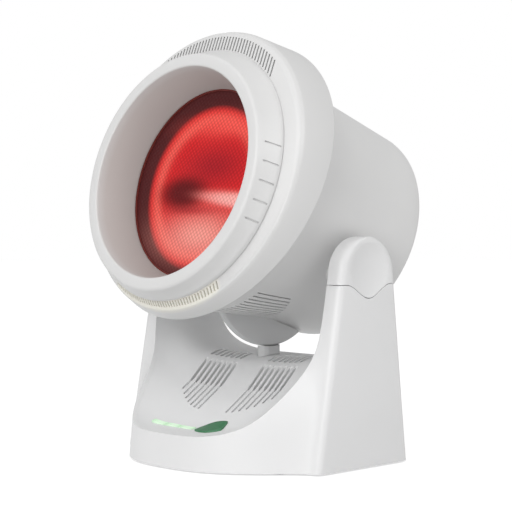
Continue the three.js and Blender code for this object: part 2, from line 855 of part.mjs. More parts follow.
// Tact switch under the button.
function buttonSwitch() {
  const [x, y] = buttonMiddle();
  const foot = boardTop + gap;
  const body = block(switchSide, switchSide, (switchHeight * 2) / 3, x, y, foot);
  return body.add(bar(alongZ, plungerRadius, foot, foot + switchHeight, at(x, y, 0), screwFacets));
}

// Control board with one light under each window of the strip.
function controlBoard() {
  const [x, y] = controlBoardHalf;
  const board = block(2 * x, 2 * y, boardThickness, 0, controlBoardDepth, boardFoot);
  const pitch = (stripRight - stripLeft) / stripWindows;
  const lights = [];
  for (let i = 0; i < stripWindows; i += 1) {
    const place = stripLeft + (i + 1 / 2) * pitch;
    lights.push(block(ledSide, ledSide, boardThickness + ledHeight, place, stripDepth, boardFoot));
  }
  return join([board, ...lights]);
}

function mainsBoard() {
  const [x, y] = mainsBoardHalf;
  return block(2 * x, 2 * y, boardThickness, 0, mainsBoardDepth, boardFoot);
}

// Component that stands on the mains board.
function component([width, depth, height], [x, y]) {
  return block(width, depth, height, x, mainsBoardDepth + y, boardTop + gap);
}

// Laminated transformer: a core with a bobbin that stands out on both sides.
function transformer() {
  const [width, depth, height] = transformerSize;
  const x = transformerPlace[0];
  const y = mainsBoardDepth + transformerPlace[1];
  const foot = boardTop + gap;
  const core = block(width, depth / 2, height, x, y, foot);
  const bobbin = block((width * 2) / 3, depth, (height * 2) / 3, x, y, foot + height / 6);
  return core.add(bobbin);
}

// Screw terminal block with wire mouths and screw wells.
function terminalBlock() {
  const [width, depth, height] = terminalSize;
  const x = terminalPlace[0];
  const y = mainsBoardDepth + terminalPlace[1];
  const foot = boardTop + gap;
  const wells = [-1, 0, 1].flatMap((i) => {
    const across = x + (i * width) / 3;
    return [
      bar(alongZ, width / 10, foot + height / 2, foot + height + overrun, at(across, y, 0), screwFacets),
      block(width / 6, depth / 3, height / 3, across, y + depth / 2, foot + height / 8),
    ];
  });
  return component(terminalSize, terminalPlace).subtract(join(wells));
}

// Bushing of the cord inlet: a flange outside the rear wall and a sleeve through it.
function cordGland() {
  const face = gap;
  const profile = [
    [glandBoreRadius, face - glandSleeveLength],
    [glandSleeveRadius, face - glandSleeveLength],
    [glandSleeveRadius, face],
    [glandFlangeRadius, face],
    [glandFlangeRadius, face + glandFlangeThickness / 2],
    [glandFlangeRadius - glandFlangeThickness / 2, face + glandFlangeThickness],
    [glandBoreRadius, face + glandFlangeThickness],
  ];
  return turnedRing(profile, smallFacets).applyMatrix4(glandFrame());
}

// Frames of the head, each inside the one before: tilt axis, optical axis and rear body.
const stand = new THREE.Group();
const head = new THREE.Group();
head.position.set(0, pivotDepth, pivotHeight);
head.rotation.x = -restTilt;
const optics = new THREE.Group();
optics.position.set(0, -apertureReach, opticalRise);
head.add(optics);
const can = new THREE.Group();
can.position.set(0, canStart, canLift);
can.rotation.x = -canLean;
optics.add(can);
[head, optics, can].forEach((group) => group.updateMatrix());
const pivotInCan = optics.matrix.clone().multiply(can.matrix).invert();
const canInHead = pivotInCan.clone().invert();

// Keel: a round plate under the head, centred on the tilt axis, cut away by the rear body.
function keelDisc(radius, thickness) {
  return bar(alongX, radius, -thickness / 2, thickness / 2, new THREE.Matrix4(), 64);
}

function tiltKeel() {
  const body = bar(new THREE.Matrix4(), canRadius + gap, -canLength, 2 * canLength, canInHead, bigFacets);
  const drum = bar(new THREE.Matrix4(), drumRear.r + gap, -canLength, canNeckReach + gap, canInHead, bigFacets);
  return keelDisc(keelRadius, keelThickness).subtract(body).subtract(drum);
}

// Neck block on the deck, hollowed to the keel's radius, with round ends.
function neckBlock() {
  const shape = new THREE.Shape();
  shape.absarc(0, neckFrontDepth + neckHalfWidth, neckHalfWidth, Math.PI, 2 * Math.PI);
  shape.absarc(0, neckRearDepth - neckHalfWidth, neckHalfWidth, 0, Math.PI);
  const prism = new THREE.ExtrudeGeometry(shape, { depth: ledgeHeight, bevelEnabled: false, curveSegments: 5 });
  const foot = ledgeHeight / 2;
  const place = at(0, pivotDepth, pivotHeight);
  const keelSpace = bar(alongX, keelRadius + gap, -pivotHeight, pivotHeight, place, 64);
  return solid(prism, at(0, 0, foot)).intersect(scoop(-gap, -gap)).subtract(keelSpace);
}

// Points of a hoop of the drum.
function hoopPoint({ r, s, rise = 0, lean = 0 }, angle) {
  const up = r * Math.sin(angle);
  return new THREE.Vector3(r * Math.cos(angle), s + up * Math.sin(lean), rise + up * Math.cos(lean));
}

// Ring skinned through hoops that close on the first one.
function hoopRing(hoops) {
  const sections = [];
  for (let i = 0; i < bigFacets; i += 1) {
    const angle = (2 * Math.PI * (i + 1 / 2)) / bigFacets;
    sections.push(hoops.map((hoop) => hoopPoint(hoop, angle)));
  }
  return loft(sections);
}

// Box whose long side runs between two points, standing along an outward direction.
function slotBetween(from, to, outward, width, depth) {
  const along = to.clone().sub(from);
  const length = along.length();
  const side = new THREE.Vector3().crossVectors(along, outward).normalize();
  const normal = new THREE.Vector3().crossVectors(side, along).normalize();
  const middle = from.clone().lerp(to, 1 / 2);
  const matrix = new THREE.Matrix4().makeBasis(side, along.normalize(), normal).setPosition(middle);
  return solid(new THREE.BoxGeometry(width, length, depth), matrix);
}

// Even steps over a span about its middle.
function fan(count, span, middle) {
  return Array.from({ length: count }, (_, i) => middle + span * (i / (count - 1) - 1 / 2));
}

// Point of a hoop at a distance to the side, on its upper or lower half.
function hoopAtX(hoop, x, half) {
  return hoopPoint(hoop, half * Math.acos(x / hoop.r));
}

// Slot through the face of the front shell, a margin short of both points.
function faceSlot(low, high, width) {
  const from = low.clone().lerp(high, ventMarginShare);
  const to = low.clone().lerp(high, 1 - ventMarginShare);
  return slotBetween(from, to, new THREE.Vector3(0, -1, 0), width, 3 * shellWall);
}

// Direction out of the drum at an angle.
function outwardAt(angle) {
  return new THREE.Vector3(Math.cos(angle), 0, Math.sin(angle));
}

// Front shell: shoulder with both fans of vents, drum and the wall that steps in to the rear body.
function frontShell() {
  const inward = ({ r, s, ...rest }, radial, axial) => ({ r: r - radial, s: s + axial, ...rest });
  const neckEdge = {
    r: canRadius + 2 * gap,
    s: canStart + canNeckReach * Math.cos(canLean),
    rise: canLift - canNeckReach * Math.sin(canLean),
    lean: canLean,
  };
  const rearEdge = inward(drumRear, drumEdgeRound, drumEdgeRound);
  const ring = hoopRing([
    shoulderFoot,
    shoulderTop,
    drumRound,
    drumFront,
    drumRear,
    rearEdge,
    neckEdge,
    inward(neckEdge, 0, -shellWall),
    inward(drumRear, shellWall, 0),
    inward(drumFront, shellWall, shellWall),
    inward(shoulderTop, shellWall / 2, shellWall),
    inward(shoulderFoot, 0, shellWall),
  ]);
  const topSlots = fan(topVentCount, 2 * topVentHalf, 0).map((x) =>
    faceSlot(hoopAtX(shoulderFoot, x, 1), hoopAtX(shoulderTop, x, 1), topVentWidth),
  );
  const lowSlots = fan(lowVentCount, 2 * lowVentHalf, 0).map((x) =>
    faceSlot(hoopAtX(shoulderFoot, x, -1), hoopAtX(drumFront, x, -1), lowVentWidth),
  );
  return ring.subtract(join([...topSlots, ...lowSlots]));
}

// Bezel: rounded lip, flaring band, skirt, collar and the rim that holds the glass, in one moulding.
function bezelRing() {
  const round = bezelWall / 2;
  const ledge = collarReach + ledgeThickness;
  const rim = glassRadius + gap;
  const skirt = shoulderFoot.r - gap - bezelWall;
  const profile = [
    [apertureRadius, round],
    [apertureRadius + round, 0],
    [lipRadius - round, 0],
    [lipRadius, round],
    [lipRadius + (bandRadius - lipRadius) * 0.42, bandReach * 0.46],
    [bandRadius, bandReach * 0.88],
    [bandRadius, bandReach],
    [skirt, bandReach],
    [skirt, collarReach - bezelWall],
    [skirt - bezelWall, collarReach - bezelWall],
    [skirt - bezelWall, bandReach - bezelWall],
    [lipRadius - bezelWall, 2 * bezelWall],
    [apertureRadius + bezelWall, 2 * bezelWall],
    [collarEndRadius + bezelWall, collarReach - bezelWall],
    [rim + glassRimWall, collarReach - bezelWall],
    [rim + glassRimWall, glassRear],
    [rim, glassRear],
    [rim, ledge],
    [collarEndRadius, ledge],
    [collarEndRadius, collarReach],
  ];
  const bossFront = glassRear - clampBossLength;
  const bosses = clampScrewPlaces().map(([x, z]) =>
    bar(new THREE.Matrix4(), clampBossRadius, bossFront, glassRear, at(x, 0, z), screwFacets),
  );
  const bores = clampScrewPlaces().map(([x, z]) =>
    bar(new THREE.Matrix4(), clampScrewRadius + gap, bossFront + gap, glassRear + overrun, at(x, 0, z), screwFacets),
  );
  return join([solid(turnedRing(profile)), ...bosses]).subtract(join(bores)).subtract(join(gripNotches()));
}

// Short grip notches across the flaring band, on both sides of the head.
function gripNotches() {
  const low = { r: lipRadius, s: bezelWall / 2 };
  const high = { r: bandRadius, s: bandReach * 0.88 };
  return [0, 1].flatMap((side) =>
    fan(gripCount, gripPitch * (gripCount - 1), gripMiddle).map((turn) => {
      const angle = side ? Math.PI - turn : turn;
      const [from, to] = [hoopPoint(low, angle), hoopPoint(high, angle)];
      return slotBetween(from.clone().lerp(to, 1 / 4), to, outwardAt(angle), gripWidth, 2 * gripDepth);
    }),
  );
}

// Places along the optical axis of what stands behind the glass.
const lampReach = flangeFront + lampDepth;
const clampFront = flangeFront + reflectorWall + gap;
const clampRear = clampFront + clampThickness;

function clampScrewPlaces() {
  return Array.from({ length: clampScrewCount }, (_, i) => {
    const angle = (2 * Math.PI * (i + 1 / 2)) / clampScrewCount;
    return [clampScrewPlace * Math.cos(angle), clampScrewPlace * Math.sin(angle)];
  });
}

// Flat ring about the optical axis.
function flatRing(inner, outer, front, rear) {
  return turnedRing([[inner, front], [outer, front], [outer, rear], [inner, rear]]);
}

function clampRing() {
  const holes = clampScrewPlaces().map(([x, z]) =>
    bar(new THREE.Matrix4(), clampScrewRadius + gap, 0, 2 * clampRear, at(x, 0, z), screwFacets),
  );
  return solid(flatRing(clampInnerRadius, clampOuterRadius, clampFront, clampRear)).subtract(join(holes));
}

function clampScrew([x, z]) {
  const head = clampRear + gap;
  const profile = [
    [0, head - clampScrewLength],
    [clampScrewRadius, head - clampScrewLength],
    [clampScrewRadius, head],
    [clampScrewHead, head],
    [clampScrewHead, head + clampScrewHeadHeight / 2],
    [clampScrewHead / 2, head + clampScrewHeadHeight],
    [0, head + clampScrewHeadHeight],
  ];
  return turned(profile, screwFacets).applyMatrix4(at(x, 0, z));
}

// Disc of filter glass with a small chamfer.
function filterGlass() {
  const edge = glassThickness / 8;
  return turned([
    [0, glassFront],
    [glassRadius - edge, glassFront],
    [glassRadius, glassFront + edge],
    [glassRadius, glassRear],
    [0, glassRear],
  ]);
}

// Bowl reflector with a flange in front and a hole on each side for the lamp.
function reflector() {
  const steps = 5;
  const bowl = [];
  const back = [];
  for (let i = 0; i <= steps; i += 1) {
    const share = i / steps;
    const depth = flangeFront + reflectorDepth * (1 - share * share);
    bowl.push([reflectorRadius * share, depth]);
    back.push([(reflectorRadius + reflectorWall) * share, depth + reflectorWall]);
  }
  const flange = [
    [reflectorFlangeRadius, flangeFront],
    [reflectorFlangeRadius, flangeFront + reflectorWall],
  ];
  const profile = [...bowl, ...flange, ...back.reverse()];
  const reach = reflectorFlangeRadius;
  const holes = bar(alongX, reflectorHoleRadius, -reach, reach, at(0, lampReach, 0));
  return solid(turned(profile, 26)).subtract(holes);
}

// Linear quartz lamp with pinched ends, along X.
function heatLamp() {
  const pinch = lampTubeRadius / 2;
  const shoulder = lampTubeHalf - 2 * lampTubeRadius;
  const profile = [
    [0, -lampTubeHalf],
    [pinch, -lampTubeHalf],
    [lampTubeRadius, -shoulder],
    [lampTubeRadius, shoulder],
    [pinch, lampTubeHalf],
    [0, lampTubeHalf],
  ];
  return turned(profile, smallFacets).applyMatrix4(at(0, lampReach, 0).multiply(alongX));
}

const lampBaseStart = lampTubeHalf + gap;
const lampBaseEnd = lampBaseStart + lampBaseLength;

// Ceramic base at one end of the lamp, with its contact.
function lampBase(sign) {
  const contact = lampBaseRadius / 3;
  const profile = [
    [0, lampBaseStart],
    [lampBaseRadius, lampBaseStart],
    [lampBaseRadius, lampBaseEnd - contact],
    [contact, lampBaseEnd - contact],
    [contact, lampBaseEnd],
    [0, lampBaseEnd],
  ];
  const side = new THREE.Matrix4().makeRotationZ((-sign * Math.PI) / 2);
  return turned(profile, smallFacets).applyMatrix4(at(0, lampReach, 0).multiply(side));
}

const holderStart = lampBaseEnd + gap - holderBoreDepth;
const holderEnd = holderStart + holderSize[0];

// Ceramic holder with a blind bore for the lamp base.
function lampHolder(sign) {
  const [width, depth, height] = holderSize;
  const body = block(width, depth, height, sign * (holderStart + width / 2), lampReach, -height / 2);
  const ends = [sign * (holderStart - overrun), sign * (lampBaseEnd + gap)].sort((a, b) => a - b);
  return body.subtract(bar(alongX, lampBaseRadius + gap, ...ends, at(0, lampReach, 0)));
}

const reflectorRear = flangeFront + reflectorDepth + reflectorWall;

// Steel strap behind the reflector that carries both lamp holders.
function lampBracket() {
  const rear = reflectorRear + gap;
  const inner = holderEnd + gap;
  const legs = [-1, 1].map((sign) => {
    const front = lampReach - holderSize[1] / 2;
    const length = rear + bracketThickness - front;
    const x = sign * (inner + bracketThickness / 2);
    return block(bracketThickness, length, bracketWidth, x, front + length / 2, -bracketWidth / 2);
  });
  const width = 2 * (inner + bracketThickness);
  const back = block(width, bracketThickness, bracketWidth, 0, rear + bracketThickness / 2, -bracketWidth / 2);
  return join([...legs, back]);
}

// Round bimetal cut-out on the back of the strap.
function thermalCutout() {
  const front = reflectorRear + gap + bracketThickness + gap;
  const profile = [
    [0, front],
    [cutoutRadius, front],
    [cutoutRadius, front + cutoutHeight / 2],
    [cutoutRadius / 2, front + cutoutHeight / 2],
    [cutoutRadius / 2, front + cutoutHeight],
    [0, front + cutoutHeight],
  ];
  return turned(profile, smallFacets);
}

// Sheet-metal shield round the reflector, with an open mouth behind.
function heatShield() {
  const rear = shieldStart + shieldLength;
  return turnedRing([
    [shieldRadius, shieldStart],
    [shieldRadius, rear],
    [shieldMouthRadius, rear],
    [shieldMouthRadius, rear - shieldWall],
    [shieldRadius - shieldWall, rear - shieldWall],
    [shieldRadius - shieldWall, shieldStart],
  ], 30);
}

// Rear body: can with a front flange, shield ribs, vents and a boss for the tilt axis on each side.
function rearShell() {
  const inner = canRadius - shellWall;
  const innerEnd = canEndRadius - shellWall;
  const flangeRear = canFlangeReach + canFlangeThickness;
  const shell = solid(
    turned([
      [0, canLength],
      [canEndRadius - canEdgeRound, canLength],
      [canEndRadius - canEdgeRound * 0.3, canLength - canEdgeRound * 0.3],
      [canEndRadius, canLength - canEdgeRound],
      [canRadius, flangeRear],
      [canFlangeRadius, flangeRear],
      [canFlangeRadius, canFlangeReach],
      [inner, canFlangeReach],
      [innerEnd, canLength - canEdgeRound],
      [innerEnd - canEdgeRound / 2, canLength - shellWall],
      [0, canLength - shellWall],
    ]),
  );
  const cavity = bar(new THREE.Matrix4(), (inner + innerEnd) / 2, 0, canLength - shellWall, new THREE.Matrix4(), bigFacets);
  const bossFace = scoopHalfWidth - gap - bushFlangeThickness - gap;
  const trunnionEnd = scoopHalfWidth + deckWall + gap;
  const bosses = [-1, 1].flatMap((sign) => {
    const span = (from, to) => [sign * from, sign * to].sort((a, b) => a - b);
    const root = bar(alongX, pivotBossRadius, ...span(bossFace / 2, bossFace), pivotInCan, 24).subtract(cavity);
    return [root, bar(alongX, trunnionRadius, ...span(bossFace - overrun, trunnionEnd), pivotInCan, 24)];
  });
  const reach = scoopHalfWidth + overrun;
  const bore = bar(alongX, pivotScrewRadius + gap, -reach, reach, pivotInCan);
  const outline = bar(new THREE.Matrix4(), canRadius - shellWall / 2, 0, canLength, new THREE.Matrix4(), bigFacets);
  const ribs = Array.from({ length: shieldRibCount }, (_, i) => {
    const turn = new THREE.Matrix4().makeRotationY((2 * Math.PI * (i + 1 / 2)) / shieldRibCount);
    const start = shieldRadius + gap;
    const rib = new THREE.BoxGeometry(canRadius - start, shieldLength, shieldRibWidth);
    return solid(rib, turn.multiply(at((start + canRadius) / 2, shieldStart + shieldLength / 2, 0))).intersect(outline);
  });
  return join([shell, ...bosses, ...ribs])
    .subtract(bore)
    .subtract(join([...underVents(), ...rearVents()]));
}

// Vents under the rear body, on both sides of the keel, whose rear ends follow a curve.
function underVents() {
  return [-1, 1].flatMap((side) =>
    Array.from({ length: underVentCount }, (_, i) => {
      const angle = -Math.PI / 2 + side * (underVentFirst + i * underVentPitch);
      const share = (i / (underVentCount - 1)) ** 2;
      const end = underVentStart + THREE.MathUtils.lerp(underVentLong, underVentShort, share);
      const from = hoopPoint({ r: canRadius, s: underVentStart }, angle);
      const to = hoopPoint({ r: canRadius, s: end }, angle);
      return slotBetween(from, to, outwardAt(angle), underVentWidth, 3 * shellWall);
    }),
  );
}

// Level vents in the back wall.
function rearVents() {
  return Array.from({ length: rearVentCount }, (_, i) => {
    const z = (i - (rearVentCount - 1) / 2) * rearVentPitch;
    return block(rearVentLength, 4 * shellWall, rearVentWidth, 0, canLength, z - rearVentWidth / 2);
  });
}

// Flanged bush in the liner of one arm.
function pivotBush(sign) {
  const inner = trunnionRadius + gap;
  const face = scoopHalfWidth - gap - bushFlangeThickness;
  const seat = scoopHalfWidth - gap;
  const end = scoopHalfWidth + deckWall;
  const profile = [
    [inner, face],
    [bushFlangeRadius, face],
    [bushFlangeRadius, seat],
    [inner + bushWall, seat],
    [inner + bushWall, end],
    [inner, end],
  ];
  return turnedRing(profile, 24).applyMatrix4(pivotSide(sign, at(0, pivotDepth, pivotHeight)));
}

// Places a shape made along Y on the tilt axis, pointing out of one side.
function pivotSide(sign, place) {
  return place.clone().multiply(new THREE.Matrix4().makeRotationZ((-sign * Math.PI) / 2));
}

const washerFace = scoopHalfWidth + deckWall + 2 * gap;

function frictionWasher(sign) {
  const profile = [
    [pivotScrewRadius + gap, washerFace],
    [washerRadius, washerFace],
    [washerRadius, washerFace + washerThickness],
    [pivotScrewRadius + gap, washerFace + washerThickness],
  ];
  return turnedRing(profile, smallFacets).applyMatrix4(pivotSide(sign, new THREE.Matrix4()));
}

function pivotScrew(sign) {
  const seat = washerFace + washerThickness + gap;
  const profile = [
    [0, seat - pivotScrewLength],
    [pivotScrewRadius, seat - pivotScrewLength],
    [pivotScrewRadius, seat],
    [pivotHeadRadius, seat],
    [pivotHeadRadius, seat + pivotHeadHeight / 2],
    [pivotHeadRadius / 2, seat + pivotHeadHeight],
    [0, seat + pivotHeadHeight],
  ];
  return turned(profile, smallFacets).applyMatrix4(pivotSide(sign, new THREE.Matrix4()));
}

// Pieces of the stand
piece(stand, 'outer_shell', outerShell(), whitePlastic, 0.45);
piece(stand, 'deck_panel', deckPanel(), greyPlastic, 0.5);
piece(stand, 'arm_cap_right', armCap(1), whitePlastic, 0.45);
piece(stand, 'arm_cap_left', armCap(-1), whitePlastic, 0.45);
piece(stand, 'neck_block', neckBlock(), greyPlastic, 0.5);
piece(stand, 'bottom_plate', bottomPlate(), greyPlastic, 0.6);
piece(stand, 'light_strip', lightStrip(), stripGlow, 0.3);
piece(stand, 'power_button', powerButton(), buttonGreen, 0.4);
piece(stand, 'button_switch', buttonSwitch(), bakeliteBlack, 0.5);
piece(stand, 'control_board', controlBoard(), boardGreen, 0.5);
piece(stand, 'mains_board', mainsBoard(), boardGreen, 0.5);
piece(stand, 'transformer', transformer(), transformerYellow, 0.5);
piece(stand, 'relay', component(relaySize, relayPlace), bakeliteBlack, 0.4);
piece(stand, 'terminal_block', terminalBlock(), ceramicWhite, 0.5);
piece(stand, 'cord_gland', cordGland(), rubberBlack, 0.8);
bothSides(rearFootOffset).forEach(([side, x, y]) => {
  piece(stand, `foot_rear_${side}`, rubberFoot(x, y), rubberBlack, 0.9);
});
bothSides(frontFootOffset).forEach(([side, x, y]) => {
  piece(stand, `foot_front_${side}`, rubberFoot(x, y), rubberBlack, 0.9);
});
postPlaces.forEach(([, x, y], i) => {
  piece(stand, `base_screw_${i + 1}`, baseScrew(0).applyMatrix4(at(x, y, 0)), steelGrey, 0.35, 1);
});

// Pieces of the head
piece(optics, 'bezel_ring', bezelRing(), whitePlastic, 0.4);
piece(optics, 'front_shell', frontShell(), whitePlastic, 0.4);
piece(can, 'rear_shell', rearShell(), whitePlastic, 0.45);
piece(head, 'tilt_keel', tiltKeel(), greyPlastic, 0.5);
piece(optics, 'glass_gasket', flatRing(gasketRadius, glassRadius, gasketFront, gasketFront + gasketThickness), siliconeRed, 0.7);
piece(optics, 'filter_glass', filterGlass(), glassRed, 0.1);
piece(optics, 'reflector', reflector(), brightAluminium, 0.2, 1);
piece(optics, 'glass_clamp_ring', clampRing(), steelGrey, 0.4, 1);
clampScrewPlaces().forEach((place, i) => {
  piece(optics, `clamp_screw_${i + 1}`, clampScrew(place), steelGrey, 0.35, 1);
});
piece(optics, 'heat_lamp', heatLamp(), quartzClear, 0.1);
piece(optics, 'lamp_bracket', lampBracket(), steelGrey, 0.4, 1);
piece(optics, 'thermal_cutout', thermalCutout(), bakeliteBlack, 0.5);
piece(can, 'heat_shield', heatShield(), brightAluminium, 0.4, 1);
[['right', 1], ['left', -1]].forEach(([side, sign]) => {
  piece(optics, `lamp_base_${side}`, lampBase(sign), ceramicWhite, 0.6);
  piece(optics, `lamp_holder_${side}`, lampHolder(sign), ceramicWhite, 0.6);
  piece(stand, `pivot_bush_${side}`, pivotBush(sign), greyPlastic, 0.5);
  piece(head, `friction_washer_${side}`, frictionWasher(sign), steelGrey, 0.3, 1);
  piece(head, `pivot_screw_${side}`, pivotScrew(sign), steelGrey, 0.35, 1);
});

// The whole lamp, moved so that the origin is under the middle of its outline, on the floor
const lamp = new THREE.Group();
lamp.add(stand, head);
lamp.updateMatrixWorld(true);
const outline = new THREE.Box3().setFromObject(lamp, true);
lamp.position.y = -(outline.min.y + outline.max.y) / 2;

export default lamp;
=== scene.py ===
# %% [markdown]
# # An infrared heat lamp
# A drum-shaped head tilts between the two arms of a stand, and a deep red filter glass glows at the
# bottom of its bezel. The CAD model is loaded first as a fixed frame. Everything that is modelled
# below is placed in that frame, so nothing has to be fitted by eye.

# %% Load the frame
import json
import math

import bmesh
import bpy
from mathutils import Matrix, Vector


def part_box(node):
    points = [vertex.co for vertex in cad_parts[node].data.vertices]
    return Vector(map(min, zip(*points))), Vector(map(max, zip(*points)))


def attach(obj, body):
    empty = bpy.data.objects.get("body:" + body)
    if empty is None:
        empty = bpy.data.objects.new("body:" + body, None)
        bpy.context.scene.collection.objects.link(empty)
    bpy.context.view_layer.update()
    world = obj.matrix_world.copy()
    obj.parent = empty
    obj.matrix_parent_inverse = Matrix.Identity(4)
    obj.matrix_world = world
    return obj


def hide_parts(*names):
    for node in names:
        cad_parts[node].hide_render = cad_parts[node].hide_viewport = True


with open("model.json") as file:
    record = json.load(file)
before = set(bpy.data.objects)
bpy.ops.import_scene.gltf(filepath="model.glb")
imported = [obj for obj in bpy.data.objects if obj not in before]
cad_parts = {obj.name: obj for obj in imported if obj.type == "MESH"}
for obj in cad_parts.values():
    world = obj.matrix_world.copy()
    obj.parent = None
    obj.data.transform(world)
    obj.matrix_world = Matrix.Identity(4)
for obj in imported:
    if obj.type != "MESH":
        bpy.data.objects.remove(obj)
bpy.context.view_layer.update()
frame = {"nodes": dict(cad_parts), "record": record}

# %% [markdown]
# The sizes below are the real ones in millimetres, and each piece is modelled in the frame in which it
# is easiest to describe: the stand on its feet, the optical parts on the axis of the glass, and the
# rear body on its own axis, which leans a little more. A matrix then carries a finished mesh to metres
# in the frame of the whole lamp.

# %% Frames
MM = 0.001
REST_TILT = math.radians(14.65)
REAR_LEAN = math.radians(4.9)
STAND_DEPTH = 90.9
REAR_SETBACK = 15.4
CAP_CENTRE = 129.3
FLOOR_GAP = 1.2
PIVOT_DEPTH, PIVOT_HEIGHT = 51, 132
BEZEL_REACH, BEZEL_RISE = 107.5, 39.6
CAN_REACH, CAN_RISE = 43, 10.9

rear_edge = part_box("outer_shell")[1].y / MM
stand_back = rear_edge - (STAND_DEPTH - REAR_SETBACK * FLOOR_GAP / CAP_CENTRE)
stand_frame = Matrix.Scale(MM, 4) @ Matrix.Translation((0, stand_back, 0))
pivot = Vector((0, PIVOT_DEPTH, PIVOT_HEIGHT))
head_frame = stand_frame @ Matrix.Translation(pivot) @ Matrix.Rotation(-REST_TILT, 4, "X")
optics_frame = head_frame @ Matrix.Translation((0, -BEZEL_REACH, BEZEL_RISE))
can_place = Matrix.Translation((0, CAN_REACH, CAN_RISE)) @ Matrix.Rotation(-REAR_LEAN, 4, "X")
can_frame = optics_frame @ can_place
print("pivot at", [round(value, 4) for value in stand_frame @ pivot])

# %% [markdown]
# The camera stands where the photographer stood: in front of the lamp and to one side, at about the
# height of the bezel, looking down by a degree and a half. A long lens keeps the perspective flat.

# %% Camera
SENSOR_WIDTH = 36.0
FOCAL_PIXELS = 1504.2
PICTURE_PIXELS = 512
CAMERA_PLACE = (750.9, -700.4, 166.1)
LOOK_DOWN = 1.448
LOOK_LEFT = 45.465


def linked(name, data):
    thing = bpy.data.objects.new(name, data)
    bpy.context.scene.collection.objects.link(thing)
    return thing


camera_data = bpy.data.cameras.new("photo_camera")
camera_data.sensor_width = SENSOR_WIDTH
camera_data.lens = SENSOR_WIDTH * FOCAL_PIXELS / PICTURE_PIXELS
camera = linked("photo_camera", camera_data)
camera.location = stand_frame @ Vector(CAMERA_PLACE)
camera.rotation_euler = (math.radians(90 - LOOK_DOWN), 0, math.radians(LOOK_LEFT))
bpy.context.scene.camera = camera
print("camera at", [round(value, 3) for value in camera.location])

# %% [markdown]
# A material is a small graph of nodes, and the same few steps come back in all of them: a noise
# pattern, a value carried to another range, a mix of two colours, a bump and a sum. Each step is a
# helper here, so a finish reads as a short recipe.

# %% Material helpers
def feed(tree, node, inputs):
    """Gives inputs of a node their values, or links to the outputs of other nodes."""
    for name, value in inputs.items():
        socket = node.inputs[name]
        if isinstance(value, bpy.types.NodeSocket):
            tree.links.new(value, socket)
        elif socket.type == "RGBA":
            socket.default_value = (*value, 1)
        else:
            socket.default_value = value


def add(tree, kind, inputs, **settings):
    """New node. Its settings come first, because some of them decide which inputs it has."""
    node = tree.nodes.new("ShaderNode" + kind)
    for name, value in settings.items():
        setattr(node, name, value)
    feed(tree, node, inputs)
    return node


def new_material(name):
    """Material with its node tree, its shader and the place on the piece."""
    material = bpy.data.materials.new(name)
    material.use_nodes = True
    tree = material.node_tree
    return material, tree, tree.nodes["Principled BSDF"], add(tree, "TexCoord", {}).outputs["Object"]


def noise(tree, place, scale, detail=2.0):
    return add(tree, "TexNoise", {"Vector": place, "Scale": scale, "Detail": detail}).outputs["Fac"]


def spread(tree, value, low, high, from_low=0.3, from_high=0.7):
    """Carries a value from one range over to another."""
    ends = {"From Min": from_low, "From Max": from_high, "To Min": low, "To Max": high}
    return add(tree, "MapRange", {"Value": value, **ends}).outputs["Result"]


def tinted(tree, value, first, second):
    """Colour between a first and a second one, as a value says."""
    return add(tree, "Mix", {"Factor": value, "A": first, "B": second}, data_type="RGBA").outputs["Result"]


def scaled(tree, colour, value):
    return add(tree, "VectorMath", {0: colour, "Scale": value}, operation="SCALE").outputs["Vector"]


def bumped(tree, shader, height, strength, distance):
    bump = add(tree, "Bump", {"Height": height, "Strength": strength, "Distance": distance})
    feed(tree, shader, {"Normal": bump.outputs["Normal"]})


def reckoned(tree, operation, first, second=0):
    return add(tree, "Math", {0: first, 1: second}, operation=operation).outputs["Value"]


def times(tree, first, second):
    return reckoned(tree, "MULTIPLY", first, second)


def squares(tree, first, second):
    """Sum of two squares."""
    return reckoned(tree, "ADD", times(tree, first, first), times(tree, second, second))


print("material helpers are ready")

# %% [markdown]
# Moulded plastic is never one flat colour. Seen close, it has a fine spark-eroded grain, which breaks
# up the highlight, and its gloss drifts slowly where the tool was polished unevenly. Two noise
# patterns do that: a fine one for the bump, and a wide one for the roughness and a trace of tone. An
# ambient occlusion node with a reach of 3 mm paints shade into the colour inside slots, notches and
# joints.

# %% Moulded plastic
RECESS_REACH = 3 * MM
RECESS_SAMPLES = 6
DRIFT_SCALE = 14
DRIFT_TONE = 0.972
GRAIN_HEIGHT = 0.2 * MM


def moulded(name, colour, roughness, grain_scale=2600, grain=0.12, coat=0.0, depth=0.45):
    """Plastic with painted shade in its recesses: there its tone goes down to a share, the depth."""
    material, tree, shader, place = new_material(name)
    drift = noise(tree, place, DRIFT_SCALE, 3)
    darker = tuple(channel * DRIFT_TONE for channel in colour)
    tone = tinted(tree, spread(tree, drift, 0, 1), colour, darker)
    # Painted shade: ambient occlusion darkens the colour in slots, notches and joints, down to the depth
    # share.
    reach = {"Distance": RECESS_REACH}
    painted_recess_shade = add(tree, "AmbientOcclusion", reach, samples=RECESS_SAMPLES, only_local=True)
    feed(tree, shader, {
        "Base Color": scaled(tree, tone, spread(tree, painted_recess_shade.outputs["AO"], depth, 1, 0.15, 0.6)),
        "Roughness": spread(tree, drift, roughness - 0.04, roughness + 0.05),
        "Coat Weight": coat,
    })
    bumped(tree, shader, noise(tree, place, grain_scale), grain, GRAIN_HEIGHT)
    return material


white_housing = moulded("white_housing", (0.8, 0.8, 0.802), 0.42)
white_head = moulded("white_head", (0.74, 0.738, 0.735), 0.38, depth=0.5)
white_deck = moulded("white_deck", (0.8, 0.801, 0.805), 0.5, grain=0.2, depth=0.28)
# A darker copy of the white plastic: painted shade for the keel and the neck block, which sit under the head.
shaded_white = moulded("shaded_white", (0.58, 0.582, 0.585), 0.5, grain=0.2)
grey_base = moulded("grey_base", (0.45, 0.46, 0.47), 0.6, grain=0.3)
print("a plastic has", len(white_housing.node_tree.nodes), "nodes")

